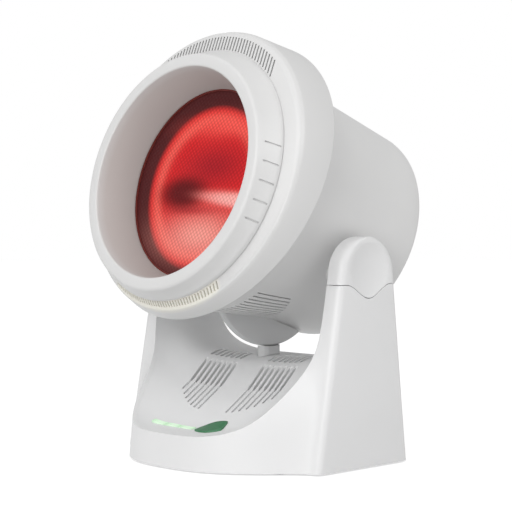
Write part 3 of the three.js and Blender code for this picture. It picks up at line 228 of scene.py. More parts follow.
# %% [markdown]
# The large mouldings are bodies of revolution. A profile is drawn as a flat outline, its corners are
# rounded with a vertex bevel, and a spin turns it round the optical axis. Rounding before the spin
# costs nothing and gives every edge the radius of its tool.

# %% Turning a profile
TURN_STEPS = 144
FINE_STEPS = 192
ON_AXIS = 1e-6
WELD = 1e-4


def round_off(bm, parts, radius, segments, affect="EDGES"):
    return bmesh.ops.bevel(
        bm, geom=parts, offset=radius, offset_type="OFFSET", affect=affect, segments=segments,
        profile=0.5, material=-1, clamp_overlap=affect == "VERTICES",
    )


def rounded_outline(bm, points, rounds):
    """Outline in the X-Y plane, as a face whose corners have the given radii."""
    corners = [bm.verts.new((x, y, 0)) for x, y in points]
    bm.faces.new(corners)
    for radius in sorted({value for value in rounds if value}):
        chosen = [corner for corner, value in zip(corners, rounds) if value == radius]
        round_off(bm, chosen, radius, 4, "VERTICES")


def turned(points, rounds, steps=TURN_STEPS):
    """Solid of revolution about Y from an outline of radius and reach."""
    bm = bmesh.new()
    rounded_outline(bm, points, rounds)
    bmesh.ops.delete(bm, geom=list(bm.faces), context="FACES_ONLY")
    on_axis = [e for e in bm.edges if all(abs(v.co.x) < ON_AXIS for v in e.verts)]
    bmesh.ops.delete(bm, geom=on_axis, context="EDGES")
    bmesh.ops.spin(
        bm, geom=list(bm.verts) + list(bm.edges), cent=(0, 0, 0), axis=(0, 1, 0),
        angle=math.tau, steps=steps, use_merge=True,
    )
    bmesh.ops.remove_doubles(bm, verts=list(bm.verts), dist=WELD)
    return bm


print("a full turn has", TURN_STEPS, "or", FINE_STEPS, "steps")

# %% [markdown]
# A bmesh is only the shape. It still needs an object, a place in the lamp, smooth shading with crisp
# edges and a material. It hides the CAD piece that it dresses and moves with the same body.

# %% Placing a piece
def object_of(bm, name):
    """Object of a finished bmesh, with its faces turned outwards."""
    bmesh.ops.recalc_face_normals(bm, faces=list(bm.faces))
    mesh = bpy.data.meshes.new(name)
    bm.to_mesh(mesh)
    bm.free()
    return linked(name, mesh)


def settle(piece, place, body, nodes, material, sharp):
    """Carries a piece to its place, smooths it, and lets it stand for its CAD nodes."""
    piece.data.transform(place)
    piece.data.shade_smooth()
    piece.data.set_sharp_from_angle(angle=math.radians(sharp))
    piece.data.materials.clear()
    piece.data.materials.append(material)
    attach(piece, body)
    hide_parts(*nodes)
    size = [round(value / MM, 1) for value in piece.dimensions]
    print(piece.name, "faces", len(piece.data.polygons), "size", size, "mm")


# %% [markdown]
# Openings are cut with a boolean, and the cutter is removed after its one use. Simple cutters are
# round rods, blocks, or a flat outline drawn out into a prism.

# %% Cutting
def baked(piece):
    """Takes the result of a piece's modifiers as its new mesh."""
    depsgraph = bpy.context.evaluated_depsgraph_get()
    result = bpy.data.meshes.new_from_object(piece.evaluated_get(depsgraph))
    piece.modifiers.clear()
    old = piece.data
    piece.data = result
    bpy.data.meshes.remove(old)


def boolean(piece, tool, operation="DIFFERENCE"):
    """Cuts, joins or intersects a piece with a tool, and removes the tool."""
    step = piece.modifiers.new(operation.lower(), "BOOLEAN")
    step.operation = operation
    step.solver = "EXACT"
    step.object = tool
    baked(piece)
    spare = tool.data
    bpy.data.objects.remove(tool)
    bpy.data.meshes.remove(spare)


def rod(radius, low, high, steps):
    """Plain round cutter along Y."""
    outline = [(0, low), (radius, low), (radius, high), (0, high)]
    return object_of(turned(outline, [0, 0, 0, 0], steps), "rod")


def block(size, middle):
    bm = bmesh.new()
    bmesh.ops.create_cube(bm, size=1, matrix=Matrix.Translation(middle) @ Matrix.Diagonal((*size, 1)))
    return object_of(bm, "block")


def prism(points, run):
    """Solid between a flat outline and the same outline moved along a run."""
    bm = bmesh.new()
    face = bm.faces.new([bm.verts.new(point) for point in points])
    made = bmesh.ops.extrude_face_region(bm, geom=[face])
    moved = [part for part in made["geom"] if isinstance(part, bmesh.types.BMVert)]
    bmesh.ops.translate(bm, vec=run, verts=moved)
    return bm


print("cutters: rod, block and prism")

# %% [markdown]
# Vents and grip notches come in rows. All the cutters of one pattern are joined into one mesh first,
# because one cut with ninety boxes is far quicker than ninety cuts with one. A slot is laid from one
# hoop to the next, and a hoop is a circle with a radius, a reach along the axis, a rise and a lean.

# %% Rows of slots
SLOT_END_SHARE = 0.46


def slot_boxes(rows, width, depth, rounded=True):
    """One mesh of slot cutters, each from one point to another, with an outward direction."""
    bm = bmesh.new()
    for start, end, outward in rows:
        along = (end - start).normalized()
        side = along.cross(outward).normalized()
        normal = side.cross(along)
        turn = Matrix((side, along, normal)).transposed().to_4x4()
        place = Matrix.Translation((start + end) / 2) @ turn
        size = Matrix.Diagonal((width, (end - start).length, depth, 1))
        made = bmesh.ops.create_cube(bm, size=1, matrix=size)
        if rounded:
            ends = [e for v in made["verts"] for e in v.link_edges]
            upright = {e for e in ends if abs(e.verts[0].co.z - e.verts[1].co.z) > depth / 2}
            bevelled = round_off(bm, list(upright), width * SLOT_END_SHARE, 3)
            parts = {v for f in bevelled["faces"] for v in f.verts}
            parts |= {v for part in parts.copy() for e in part.link_edges for v in e.verts}
        else:
            parts = set(made["verts"])
        bmesh.ops.transform(bm, matrix=place, verts=list(parts))
    return object_of(bm, "slot_cutters")


def hoop_point(hoop, angle):
    radius, reach, rise, lean = hoop
    up = radius * math.sin(angle)
    return Vector((radius * math.cos(angle), reach + up * math.sin(lean), rise + up * math.cos(lean)))


def outward_at(angle):
    return Vector((math.cos(angle), 0, math.sin(angle)))


def fan(count, span):
    return [span * (i / (count - 1) - 0.5) for i in range(count)]


print("a fan of five over 40 mm:", fan(5, 40))

# %% [markdown]
# The inside of the bezel takes a warm grey tone from the lamp's own light. The tone belongs to the
# place and not to the shape, so it is mixed in by the distance from the optical axis: fully inside the
# aperture, and not at all on the lip.

# %% Bezel plastic
GLASS_MIDDLE = 32


def measured(tree, place, origin, scale, turn=(0, 0, 0)):
    """Place about an origin and in other units, as a vector and as X, Y and Z."""
    inputs = {"Vector": place, "Location": origin, "Rotation": turn, "Scale": scale}
    moved = add(tree, "Mapping", inputs, vector_type="TEXTURE").outputs["Vector"]
    return moved, *add(tree, "SeparateXYZ", {"Vector": moved}).outputs


def glass_plane(tree, place):
    """Place in millimetres about the middle of the glass."""
    middle = optics_frame @ Vector((0, GLASS_MIDDLE, 0))
    return measured(tree, place, middle, (MM, MM, MM), (-REST_TILT, 0, 0))


def with_painted_lamp_light(name, tone, lamp_light_mask_of):
    """White head plastic with painted lamp light: another tone where a mask in the plane of the glass says
    so.
    """
    material = moulded(name, (0.7, 0.698, 0.695), 0.38, depth=0.66)
    tree = material.node_tree
    shader = tree.nodes["Principled BSDF"]
    plane, x, y, z = glass_plane(tree, add(tree, "TexCoord", {}).outputs["Object"])
    plain = shader.inputs["Base Color"].links[0].from_socket
    feed(tree, shader, {"Base Color": tinted(tree, lamp_light_mask_of(tree, x, y, z), plain, tone)})
    return material


def from_axis(tree, x, z):
    return reckoned(tree, "SQRT", squares(tree, x, z))


def within_aperture(tree, x, y, z):
    return spread(tree, from_axis(tree, x, z), 1, 0, 71.2, 73.6)


# Painted light: a warm grey tone inside the aperture stands for the lamp's own light on the collar.
white_bezel = with_painted_lamp_light("white_bezel", (0.6, 0.56, 0.54), within_aperture)
print("bezel plastic has", len(white_bezel.node_tree.nodes), "nodes")

# %% [markdown]
# The bezel is one moulding: a rounded lip, a band that flares out to the widest edge, a skirt that
# plugs into the shell, and inside it a collar that runs down to the glass. It is turned first, and then
# the band is lifted and leaned back a little, because its edge is not quite square to the glass.

# %% Bezel
LIP_RADIUS = 81.2
BAND_RADIUS, BAND_FRONT, BAND_RISE = 87.8, 14.2, 2
BAND_LEAN = math.radians(2.4)
LEAN_FROM = 82.6
GLASS_REAR = 35.2


def share_of(value, low, high):
    """How far a value has come from low to high, from 0 to 1."""
    return min(max((value - low) / (high - low), 0), 1)


bezel_points = [
    (72.8, 0), (LIP_RADIUS, 0), (84, 7.8), (BAND_RADIUS, BAND_FRONT), (BAND_RADIUS, 16.2), (82.4, 16.2),
    (82.4, 26.8), (79.9, 26.8), (79.9, 13.7), (78.2, 5), (75.3, 5), (68.7, 26.8), (71, 26.8),
    (71, GLASS_REAR), (68.7, GLASS_REAR), (68.7, 30.6), (66.2, 30.6), (66.2, 29.3),
]
bezel_rounds = [1.2, 1.8, 5, 1.6, 0.3, 0, 0.3, 0.3, 0, 0, 0, 0, 0, 0.2, 0.2, 0, 0.3, 0.3]
bezel_mesh = turned(bezel_points, bezel_rounds, FINE_STEPS)
for corner in bezel_mesh.verts:
    share = share_of(corner.co.xz.length, LEAN_FROM, BAND_RADIUS)
    corner.co.y += corner.co.z * math.sin(BAND_LEAN) * share
    corner.co.z += BAND_RISE * share
bezel = object_of(bezel_mesh, "bezel")
print("bezel turned with", len(bezel.data.polygons), "faces")

# %% [markdown]
# Ten short notches, five on each side, give the fingers a grip when the head is tilted. They are not
# parallel: each leans a little more than the one below it.

# %% Grip notches
NOTCH_MIDDLE, NOTCH_PITCH = -4.2, 8.9
NOTCH_DROP, NOTCH_DROP_STEP = 2.1, 0.55
NOTCH_START_SHARE = 0.27
NOTCH_WIDTH, NOTCH_DEPTH = 1.3, 1.9
lip_hoop = (LIP_RADIUS, 1.2, 0, 0)
band_hoop = (BAND_RADIUS, BAND_FRONT, BAND_RISE, BAND_LEAN)
notches = []
for side in (0, 1):
    for k in range(-2, 3):
        turn = math.radians(NOTCH_MIDDLE + NOTCH_PITCH * k)
        drop = math.radians(NOTCH_DROP + NOTCH_DROP_STEP * k)
        near, far = (math.pi - turn, math.pi - turn + drop) if side else (turn, turn - drop)
        low, high = hoop_point(lip_hoop, near), hoop_point(band_hoop, far)
        notches.append((low.lerp(high, NOTCH_START_SHARE), high, outward_at((near + far) / 2)))
boolean(bezel, slot_boxes(notches, NOTCH_WIDTH, NOTCH_DEPTH))
settle(bezel, optics_frame, "head", ["bezel_ring"], white_bezel, 28)

# %% [markdown]
# The front shell is not quite a body of revolution: from the bezel back, its face and its drum are
# lifted and lean back more and more. Circles are therefore laid out one by one, each with its own lift
# and lean, and bridged into a closed ring.

# %% Front shell
SHELL_WALL = 2.6
NECK_RADIUS, NECK_RUN = 80, 12


def hoop_ring(hoops, rounds, steps=FINE_STEPS):
    bm = bmesh.new()
    rings = []
    for radius, reach, rise, tilt in hoops:
        place = Matrix.Translation((0, reach, rise)) @ Matrix.Rotation(-tilt, 4, "X")
        place = place @ Matrix.Rotation(math.pi / 2, 4, "X")
        made = bmesh.ops.create_circle(bm, cap_ends=False, radius=radius, segments=steps, matrix=place)
        rings.append(list({e for v in made["verts"] for e in v.link_edges}))
    for first, second in zip(rings, rings[1:] + rings[:1]):
        bmesh.ops.bridge_loops(bm, edges=first + second)
    for ring, radius in zip(rings, rounds):
        if radius:
            round_off(bm, [e for e in ring if e.is_valid], radius, 3)
    return bm


face_lean, round_lean, front_lean, rear_lean = [math.radians(angle) for angle in (1.2, 1.8, 2.2, 9)]
neck_reach = CAN_REACH + NECK_RUN * math.cos(REAR_LEAN)
neck_rise = CAN_RISE - NECK_RUN * math.sin(REAR_LEAN)
face_hoop = (95, 19.2, 6.2, face_lean)
round_hoop = (97.3, 20.2, 6.8, round_lean)
outer_hoops = [
    (85.4, 15.9, BAND_RISE, BAND_LEAN), face_hoop, round_hoop, (98.6, 22.6, 7, front_lean),
    (102.2, 43.8, 6, rear_lean), (100.8, 45.4, 6, rear_lean), (NECK_RADIUS, neck_reach, neck_rise, REAR_LEAN),
]
inner_hoops = [
    (NECK_RADIUS, neck_reach - SHELL_WALL, neck_rise, REAR_LEAN), (99.6, 43.8, 6, rear_lean),
    (96, 25.2, 7, front_lean), (93.6, 21.8, 6.2, face_lean), (85.4, 19.1, BAND_RISE, BAND_LEAN),
]
shell_rounds = [0.25, 0.4, 0.7, 1, 0.7, 0.7, 0, 0, 0, 0, 0, 0]
front_shell = object_of(hoop_ring(outer_hoops + inner_hoops, shell_rounds), "front_shell_dressed")
print("front shell runs through", len(shell_rounds), "hoops")

# %% [markdown]
# The vents in the face all stand upright, side by side, so a slot runs along its own upright line from
# one hoop towards another. Each row has a half, a width, a far hoop, the shares of the way where its
# slots start and end, and their own width and depth. Around the lower row a warm tone is painted in:
# painted light of the lamp showing through the vents.

# %% Vents of the front shell
VENT_COUNT = 41


def beside(hoop, x, half):
    """Point of a hoop at a distance to the side, on its upper or lower half."""
    return hoop_point(hoop, half * math.acos(x / hoop[0]))


def painted_vent_glow_area(tree, x, y, z):
    borders = [
        spread(tree, reckoned(tree, "ABSOLUTE", x), 1, 0, 49, 53),
        spread(tree, y, 1, 0, -9, -7),
        spread(tree, z, 0.6, 0, -62, -56),
        spread(tree, from_axis(tree, x, z), 1, 0, 90.5, 92.5),
    ]
    area = borders[0]
    for border in borders[1:]:
        area = times(tree, area, border)
    return area


# Painted light: the warm tone round the lower vents stands for the lamp's light showing through them.
white_shell = with_painted_lamp_light("white_shell", (0.93, 0.9, 0.78), painted_vent_glow_area)
edge_hoop = (BAND_RADIUS + 0.4, 16.8, BAND_RISE, BAND_LEAN)
forward = Vector((0, -1, 0))
vent_rows = [(1, 119, face_hoop, 0.02, 0.93, 1.25, 7), (-1, 100, round_hoop, 0.05, 0.8, 1.15, 4.6)]
for half, width_of_row, far_hoop, start, end, width, depth in vent_rows:
    slots = []
    for x in fan(VENT_COUNT, width_of_row):
        low, high = beside(edge_hoop, x, half), beside(far_hoop, x, half)
        slots.append((low.lerp(high, start), low.lerp(high, end), forward))
    boolean(front_shell, slot_boxes(slots, width, depth, False))
settle(front_shell, optics_frame, "head", ["front_shell"], white_shell, 28)

# %% [markdown]
# The rear body is a can with a rounded end. It starts as a true round and is then pulled downwards
# near the drum. `belly` moves each corner of the mesh by a share that fades out towards the back, so
# the wall stays smooth. For that the wall needs corners along its length.

# %% Rear body
CAN_LENGTH = 128
CAN_RADIUS, CAN_END_RADIUS = 79.4, 78.5
CAN_BORE = 76.8
CAN_TAPER = 0.9
CAN_WALL = 2.6
WALL_STEP = 8
BELLY_GAIN = 0.165
BELLY_START, BELLY_END = 8, 96
BELLY_FULL = 60


def tapered(radius, stations):
    return [(radius - CAN_TAPER * reach / CAN_LENGTH, reach) for reach in stations]


def smoothstep(value, low, high):
    share = share_of(value, low, high)
    return share * share * (3 - 2 * share)


def belly(point):
    """The lower half of the can hangs a little deeper near the drum than further back."""
    point = Vector(point)
    if point.z < 0:
        fade = 1 - smoothstep(point.y, BELLY_START, BELLY_END)
        point.z *= 1 + BELLY_GAIN * fade * min(-point.z / BELLY_FULL, 1)
    return point


outside = tapered(CAN_RADIUS, range(112, 8, -WALL_STEP))
inside = tapered(CAN_BORE, range(16, 120, WALL_STEP))
can_points = [(0, CAN_LENGTH), (CAN_END_RADIUS, CAN_LENGTH)] + outside
can_points += [(CAN_RADIUS, 6.3), (80.4, 6.3), (80.4, 3.9), (CAN_BORE, 3.9)] + inside
can_points += [(CAN_BORE - CAN_TAPER, CAN_LENGTH - CAN_WALL), (0, CAN_LENGTH - CAN_WALL)]
can_rounds = [0, 5.5] + [0] * len(outside) + [0.6, 0.3, 0.3, 0] + [0] * len(inside) + [3, 0]
can_mesh = turned(can_points, can_rounds, FINE_STEPS)
for corner in can_mesh.verts:
    corner.co = belly(corner.co)
rear_body = object_of(can_mesh, "rear_body")
print("rear body hangs", round(-min(v.co.z for v in rear_body.data.vertices) - CAN_RADIUS, 1), "mm deeper")

# %% [markdown]
# Two round bosses stand out of the can on the tilt axis: turned pieces, hollowed to the inside of the
# can and joined to it with a boolean. Slots let air in underneath and out at the back.

# %% Bosses and vents
UNDER_COUNT = 10
UNDER_FIRST, UNDER_PITCH = 6.2, 2.9
UNDER_START, UNDER_END, UNDER_CURVE = 24, 70, 14
UNDER_WIDTH, BACK_WIDTH, VENT_DEPTH = 1.1, 3, 10
BACK_COUNT, BACK_PITCH, BACK_HALF = 7, 11, 38
SCREW_BORE = 3.3

under_rows = []
for side in (-1, 1):
    for i in range(UNDER_COUNT):
        angle = -math.pi / 2 + side * math.radians(UNDER_FIRST + UNDER_PITCH * i)
        end = UNDER_END - UNDER_CURVE * (i / (UNDER_COUNT - 1)) ** 2
        near, far = [belly(hoop_point((CAN_RADIUS, reach, 0, 0), angle)) for reach in (UNDER_START, end)]
        under_rows.append((near, far, outward_at(angle)))
boolean(rear_body, slot_boxes(under_rows, UNDER_WIDTH, VENT_DEPTH))
boss_points = [(0, 55), (8.5, 55), (8.5, 82.6), (11, 82.6), (11, 85.3), (0, 85.3)]
pivot_in_can = can_frame.inverted() @ head_frame
for side in (1, -1):
    to_side = pivot_in_can @ Matrix.Rotation(-side * math.pi / 2, 4, "Z")
    boss = object_of(turned(boss_points, [0, 0, 0, 0.3, 0.5, 0], 64), "boss")
    boss.data.transform(to_side)
    boolean(boss, rod(CAN_BORE - 0.5, 0, 125, 96))
    boolean(rear_body, boss, "UNION")
    screw_bore = rod(SCREW_BORE, 60, 90, 32)
    screw_bore.data.transform(to_side)
    boolean(rear_body, screw_bore)
back_rows = [
    (Vector((-BACK_HALF, CAN_LENGTH, z)), Vector((BACK_HALF, CAN_LENGTH, z)), Vector((0, 1, 0)))
    for z in fan(BACK_COUNT, BACK_PITCH * (BACK_COUNT - 1))
]
boolean(rear_body, slot_boxes(back_rows, BACK_WIDTH, VENT_DEPTH))
settle(rear_body, can_frame, "head", ["rear_shell"], white_head, 28)

# %% [markdown]
# Under the head hangs a round plate whose edge is centred on the tilt axis. Its edge runs in the hollow
# top of a small block on the deck, and so it hides the gap between head and stand at every angle.

# %% Keel
KEEL_RADIUS, KEEL_HALF, KEEL_EDGE = 56, 3, 1.8
RUNNING_GAP = 0.3
ACROSS = Matrix.Rotation(-math.pi / 2, 4, "Z")

keel_points = [(0, -KEEL_HALF), (KEEL_RADIUS, -KEEL_HALF), (KEEL_RADIUS, KEEL_HALF), (0, KEEL_HALF)]
keel = object_of(turned(keel_points, [0, KEEL_EDGE, KEEL_EDGE, 0], FINE_STEPS), "keel")
keel.data.transform(ACROSS)
body_space = rod(CAN_RADIUS + RUNNING_GAP, -80, 200, FINE_STEPS)
body_space.data.transform(head_frame.inverted() @ can_frame)
boolean(keel, body_space)
settle(keel, head_frame, "head", ["tilt_keel"], shaded_white, 30)

# %% [markdown]
# The stand is a loft: flat outlines at many heights, bridged from one to the next. The outline runs
# round the nose at the front and the square back, and both fade into the narrow arms higher up.
# Writing the outline as a formula keeps the nose, the lean and the corner radius in one place, so the
# inner wall is the same formula with an inset.

# %% Outline of the stand
ARM_HALF, ARM_DRAFT = 95.5, 0.6
ARM_CORNER = 5
ARM_SETBACK = 23.6
CAP_RADIUS = 24.5
REAR_EASE = 1.5
NOSE_REACH, NOSE_HALF = 48.2, 90
NOSE_LOW, NOSE_HIGH = 30, 85


def side_edges(z, inset):
    """Front and rear of the arm at a height."""
    share = min(z, CAP_CENTRE) / CAP_CENTRE
    front = ARM_SETBACK * share + inset
    rear = STAND_DEPTH - (REAR_SETBACK - REAR_EASE) * share - inset
    if z <= CAP_CENTRE:
        return front, rear
    lift = (z - CAP_CENTRE) / (CAP_RADIUS - inset)
    half = (rear - front) / 2 * math.sqrt(max(1 - lift * lift, 0))
    middle = (front + rear) / 2
    return middle - half, middle + half


def arc(x, y, radius, start, sweep, steps, z):
    """Points of an arc at a height, with its angles in degrees."""
    angles = [math.radians(start + sweep * i / steps) for i in range(steps + 1)]
    return [(x + radius * math.cos(angle), y + radius * math.sin(angle), z) for angle in angles]


def stand_outline(z, inset, nose_steps=64, corner_steps=6):
    front, rear = side_edges(z, inset)
    half = ARM_HALF - ARM_DRAFT / CAP_CENTRE * min(z, CAP_CENTRE) - inset
    corner = min(ARM_CORNER, (rear - front) / 3)
    fade = 1 - smoothstep(z, NOSE_LOW, NOSE_HIGH)
    outline = []
    for i in range(nose_steps + 1):
        x = (half - corner) * (2 * i / nose_steps - 1)
        across = min((abs(x) + 0.6 * inset) / NOSE_HALF, 1)
        forward = (1 - across**2.8) ** 1.5 * fade
        outline.append((x, (front - inset) * (1 - forward * 0.7) + inset - NOSE_REACH * forward, z))
    turns = [
        (half - corner, front + corner, -90), (half - corner, rear - corner, 0),
        (corner - half, rear - corner, 90), (corner - half, front + corner, 180),
    ]
    corners = []
    for x, y, start in turns:
        corners += arc(x, y, corner, start, 90, corner_steps, z)
    return outline + corners[1:-1]


print("an outline of the stand has", len(stand_outline(0, 0)), "corners")

# %% [markdown]
# The outlines are set at even steps up the arms and closer together in the round cap, where the shape
# changes fast.

# %% Stand envelope
STRAIGHT_STEPS, ROUND_STEPS = 18, 14
LAST_SHARE = 0.965


def loft(outlines):
    """Closed solid through a row of closed outlines."""
    bm = bmesh.new()
    loops = []
    for outline in outlines:
        corners = [bm.verts.new(point) for point in outline]
        loops.append([bm.edges.new((a, b)) for a, b in zip(corners, corners[1:] + corners[:1])])
        if outline is outlines[0] or outline is outlines[-1]:
            bm.faces.new(corners)
    for first, second in zip(loops, loops[1:]):
        bmesh.ops.bridge_loops(bm, edges=first + second)
    return bm


def stand_envelope(inset, foot):
    straight = [i / STRAIGHT_STEPS * CAP_CENTRE for i in range(1, STRAIGHT_STEPS + 1)]
    shares = [i / ROUND_STEPS for i in range(1, ROUND_STEPS)] + [LAST_SHARE]
    round_top = [CAP_CENTRE + (CAP_RADIUS - inset) * math.sin(share * math.pi / 2) for share in shares]
    return object_of(loft([stand_outline(z, inset) for z in [foot] + straight + round_top]), "stand_envelope")


print("the stand has", STRAIGHT_STEPS, "outlines up the arms and", ROUND_STEPS, "in the caps")

# %% [markdown]
# The deck rises from the nose to the back in a long S. Its height is a smooth curve through a few
# chosen points, written as shares of the deck's length and rise.

# %% Curve of the deck
DECK_LOW, DECK_RISE = 23.2, 46.6
DECK_SHARES = [
    (0, 0), (0.131, 0.017), (0.203, 0.067), (0.26, 0.15), (0.318, 0.245), (0.418, 0.438), (0.4745, 0.556),
    (0.5406, 0.745), (0.598, 0.905), (0.627, 0.948), (0.677, 0.99), (0.742, 1), (1, 0.965),
]


def deck_slope(i):
    a, low = DECK_SHARES[max(i - 1, 0)]
    b, high = DECK_SHARES[min(i + 1, len(DECK_SHARES) - 1)]
    return (high - low) / (b - a)


def deck_height(y):
    along = share_of(y, -NOSE_REACH, STAND_DEPTH)
    k = max(i for i in range(len(DECK_SHARES) - 1) if DECK_SHARES[i][0] <= along)
    (a, low), (b, high) = DECK_SHARES[k], DECK_SHARES[k + 1]
    t = (along - a) / (b - a)
    share = (2 * t**3 - 3 * t**2 + 1) * low + (t**3 - 2 * t**2 + t) * (b - a) * deck_slope(k)
    share += (3 * t**2 - 2 * t**3) * high + (t**3 - t**2) * (b - a) * deck_slope(k + 1)
    return DECK_LOW + share * DECK_RISE


print("the deck rises from", DECK_LOW, "to", round(deck_height(PIVOT_DEPTH), 1), "mm")

# %% [markdown]
# A second loft, run from front to back, is the space between the arms. Its floor follows the deck, and
# its sides rise into the straight inner walls of the arms. Cutting with it gives the shell its U
# shape, and the same loft made a little larger gives the deck panel its thickness.

# %% Scooped space between the arms
SCOOP_HALF = 82.4
SCOOP_TOP, SCOOP_CEILING = 111, 160
SCOOP_FRONT, SCOOP_REAR = -54, 97


def scoop(side, drop, stations=44, steps=48):
    half = SCOOP_HALF + side
    outlines = []
    for k in range(stations + 1):
        y = -NOSE_REACH + (STAND_DEPTH + NOSE_REACH) * k / stations
        z = deck_height(y) - drop
        outline = []
        for i in range(steps + 1):
            angle = math.pi * (i / steps - 0.5)
            across = math.copysign(abs(math.sin(angle)) ** (1 / 2), math.sin(angle))
            rise = 1 - max(math.cos(angle), 0) ** (2 / 3)
            outline.append((across * half, y, z + rise * (SCOOP_TOP - z)))
        outline += [(half, y, SCOOP_CEILING), (-half, y, SCOOP_CEILING)]
        outlines.append(outline)
    first = [(x, SCOOP_FRONT, z) for x, y, z in outlines[0]]
    last = [(x, SCOOP_REAR, z) for x, y, z in outlines[-1]]
    return object_of(loft([first] + outlines + [last]), "scoop")


print("inner walls", round(2 * SCOOP_HALF, 1), "mm apart")

# %% [markdown]
# The caps meet the arms in a wavy line: level at both edges, with one soft dip in the middle. A prism
# with that wave as its underside cuts the shell and leaves the caps.

# %% Wavy split line
PARTING_HEIGHT = 122
PARTING_DIP, PARTING_DIP_HALF = 9.2, 22
PARTING_STEPS = 24
CUTTER_HALF, CUTTER_FRONT, CUTTER_REAR, CUTTER_TOP = 110, -120, 160, 170


def above_parting(shift):
    """Everything above the wavy split line of the arms."""
    low = PARTING_HEIGHT + shift
    middle = sum(side_edges(PARTING_HEIGHT, 0)) / 2
    outline = [(CUTTER_FRONT, low)]
    for i in range(PARTING_STEPS + 1):
        turn = 2 * i / PARTING_STEPS - 1
        dip = PARTING_DIP * (1 + math.cos(math.pi * turn)) / 2
        outline.append((middle + PARTING_DIP_HALF * turn, low - dip))
    outline += [(CUTTER_REAR, low), (CUTTER_REAR, CUTTER_TOP), (CUTTER_FRONT, CUTTER_TOP)]
    side = [(-CUTTER_HALF, y, z) for y, z in outline]
    return object_of(prism(side, (2 * CUTTER_HALF, 0, 0)), "above_parting")


print("the split line dips to", round(PARTING_HEIGHT - PARTING_DIP, 1), "mm")

# %% [markdown]
# The outer shell is what remains of the envelope once its inside, the space between the arms and the
# two caps are cut away. Its rim shows as a thin bright edge all round the deck.

# %% Outer shell
SHELL_INSET = 2.8
BELOW_FLOOR = -4
GLAND_RADIUS, GLAND_HEIGHT, GLAND_HALF = 5.9, 17, 6

outer = stand_envelope(0, FLOOR_GAP)
boolean(outer, stand_envelope(SHELL_INSET, BELOW_FLOOR))
boolean(outer, scoop(0, 0))
boolean(outer, above_parting(0))
gland_lean = math.atan2(REAR_SETBACK, CAP_CENTRE)
gland_rear = side_edges(GLAND_HEIGHT, 0)[1]
gland_hole = rod(GLAND_RADIUS, -GLAND_HALF, GLAND_HALF, 48)
gland_place = Matrix.Translation((0, gland_rear, GLAND_HEIGHT)) @ Matrix.Rotation(gland_lean, 4, "X")
gland_hole.data.transform(gland_place)
boolean(outer, gland_hole)
settle(outer, stand_frame, "stand", ["outer_shell"], white_housing, 30)

# %% [markdown]
# Each cap closes the top of an arm. Its outer face has a shallow oval dish, which a flattened sphere
# cuts, and its lower edge follows the same wave as the arm, a hair's breadth above it.

# %% Arm caps
CAP_WALL, CAP_GAP = 4.4, 0.45
DISH_FACE, DISH_BULGE, DISH_DEPTH = 94.9, 16, 2.8
DISH_HALF_LENGTH, DISH_HALF_HEIGHT, DISH_LIFT = 18.5, 18, 2.6


def dish_cutter(side):
    dish = bmesh.new()
    bmesh.ops.create_uvsphere(dish, u_segments=96, v_segments=64, radius=1)
    wide = 1 / math.sqrt(1 - (1 - DISH_DEPTH / DISH_BULGE) ** 2)
    centre = (side * (DISH_FACE + DISH_BULGE - DISH_DEPTH), PIVOT_DEPTH, CAP_CENTRE + DISH_LIFT)
    shape = Matrix.Diagonal((DISH_BULGE, DISH_HALF_LENGTH * wide, DISH_HALF_HEIGHT * wide, 1))
    bmesh.ops.transform(dish, matrix=Matrix.Translation(centre) @ shape, verts=list(dish.verts))
    return object_of(dish, "dish")


for side, label in ((1, "right"), (-1, "left")):
    cap = stand_envelope(0, FLOOR_GAP)
    boolean(cap, stand_envelope(CAP_WALL, BELOW_FLOOR))
    boolean(cap, above_parting(CAP_GAP), "INTERSECT")
    boolean(cap, scoop(0, 0))
    boolean(cap, block((120, 300, 300), (side * 60, 50, 100)), "INTERSECT")
    cap.name = "arm_cap_dressed_" + label
    boolean(cap, dish_cutter(side))
    settle(cap, stand_frame, "stand", ["arm_cap_" + label], white_housing, 24)

# %% [markdown]
# The button is shaped like a leaf: two curves, each bent by one point, between its tip and its blunt
# end. A wider copy of the same outline cuts the hole in the deck.

# %% Leaf outline
LEAF_TIP, LEAF_LOW, LEAF_HIGH = Vector((9.5, -28.5)), Vector((29.5, -23)), Vector((26, -13.5))
LEAF_LOW_BULGE, LEAF_HIGH_BULGE = Vector((21, -33.5)), Vector((10, -12.5))
LEAF_STEPS = 16


def leaf_outline(offset):
    """Outline of the button: a leaf with its tip towards the strip of light."""
    centre = (LEAF_TIP + LEAF_LOW + LEAF_HIGH) / 3
    points = []
    for start, bulge, end in ((LEAF_TIP, LEAF_LOW_BULGE, LEAF_LOW), (LEAF_HIGH, LEAF_HIGH_BULGE, LEAF_TIP)):
        for i in range(LEAF_STEPS + 1):
            t = i / LEAF_STEPS
            points.append(start * (1 - t) ** 2 + bulge * 2 * t * (1 - t) + end * t * t)
    return [p + (p - centre).normalized() * offset for p in points[:-1]]


def leaf_prism(offset, low, high):
    return prism([(p.x, p.y, low) for p in leaf_outline(offset)], (0, 0, high - low))


print("leaf", round((LEAF_HIGH - LEAF_TIP).length, 1), "mm from its tip to its end")

# %% [markdown]
# The deck panel lies inside the shell and carries the slots, the strip of light and the button. The
# slots are cut right through on the steep part and run out as shallow grooves towards the nose.

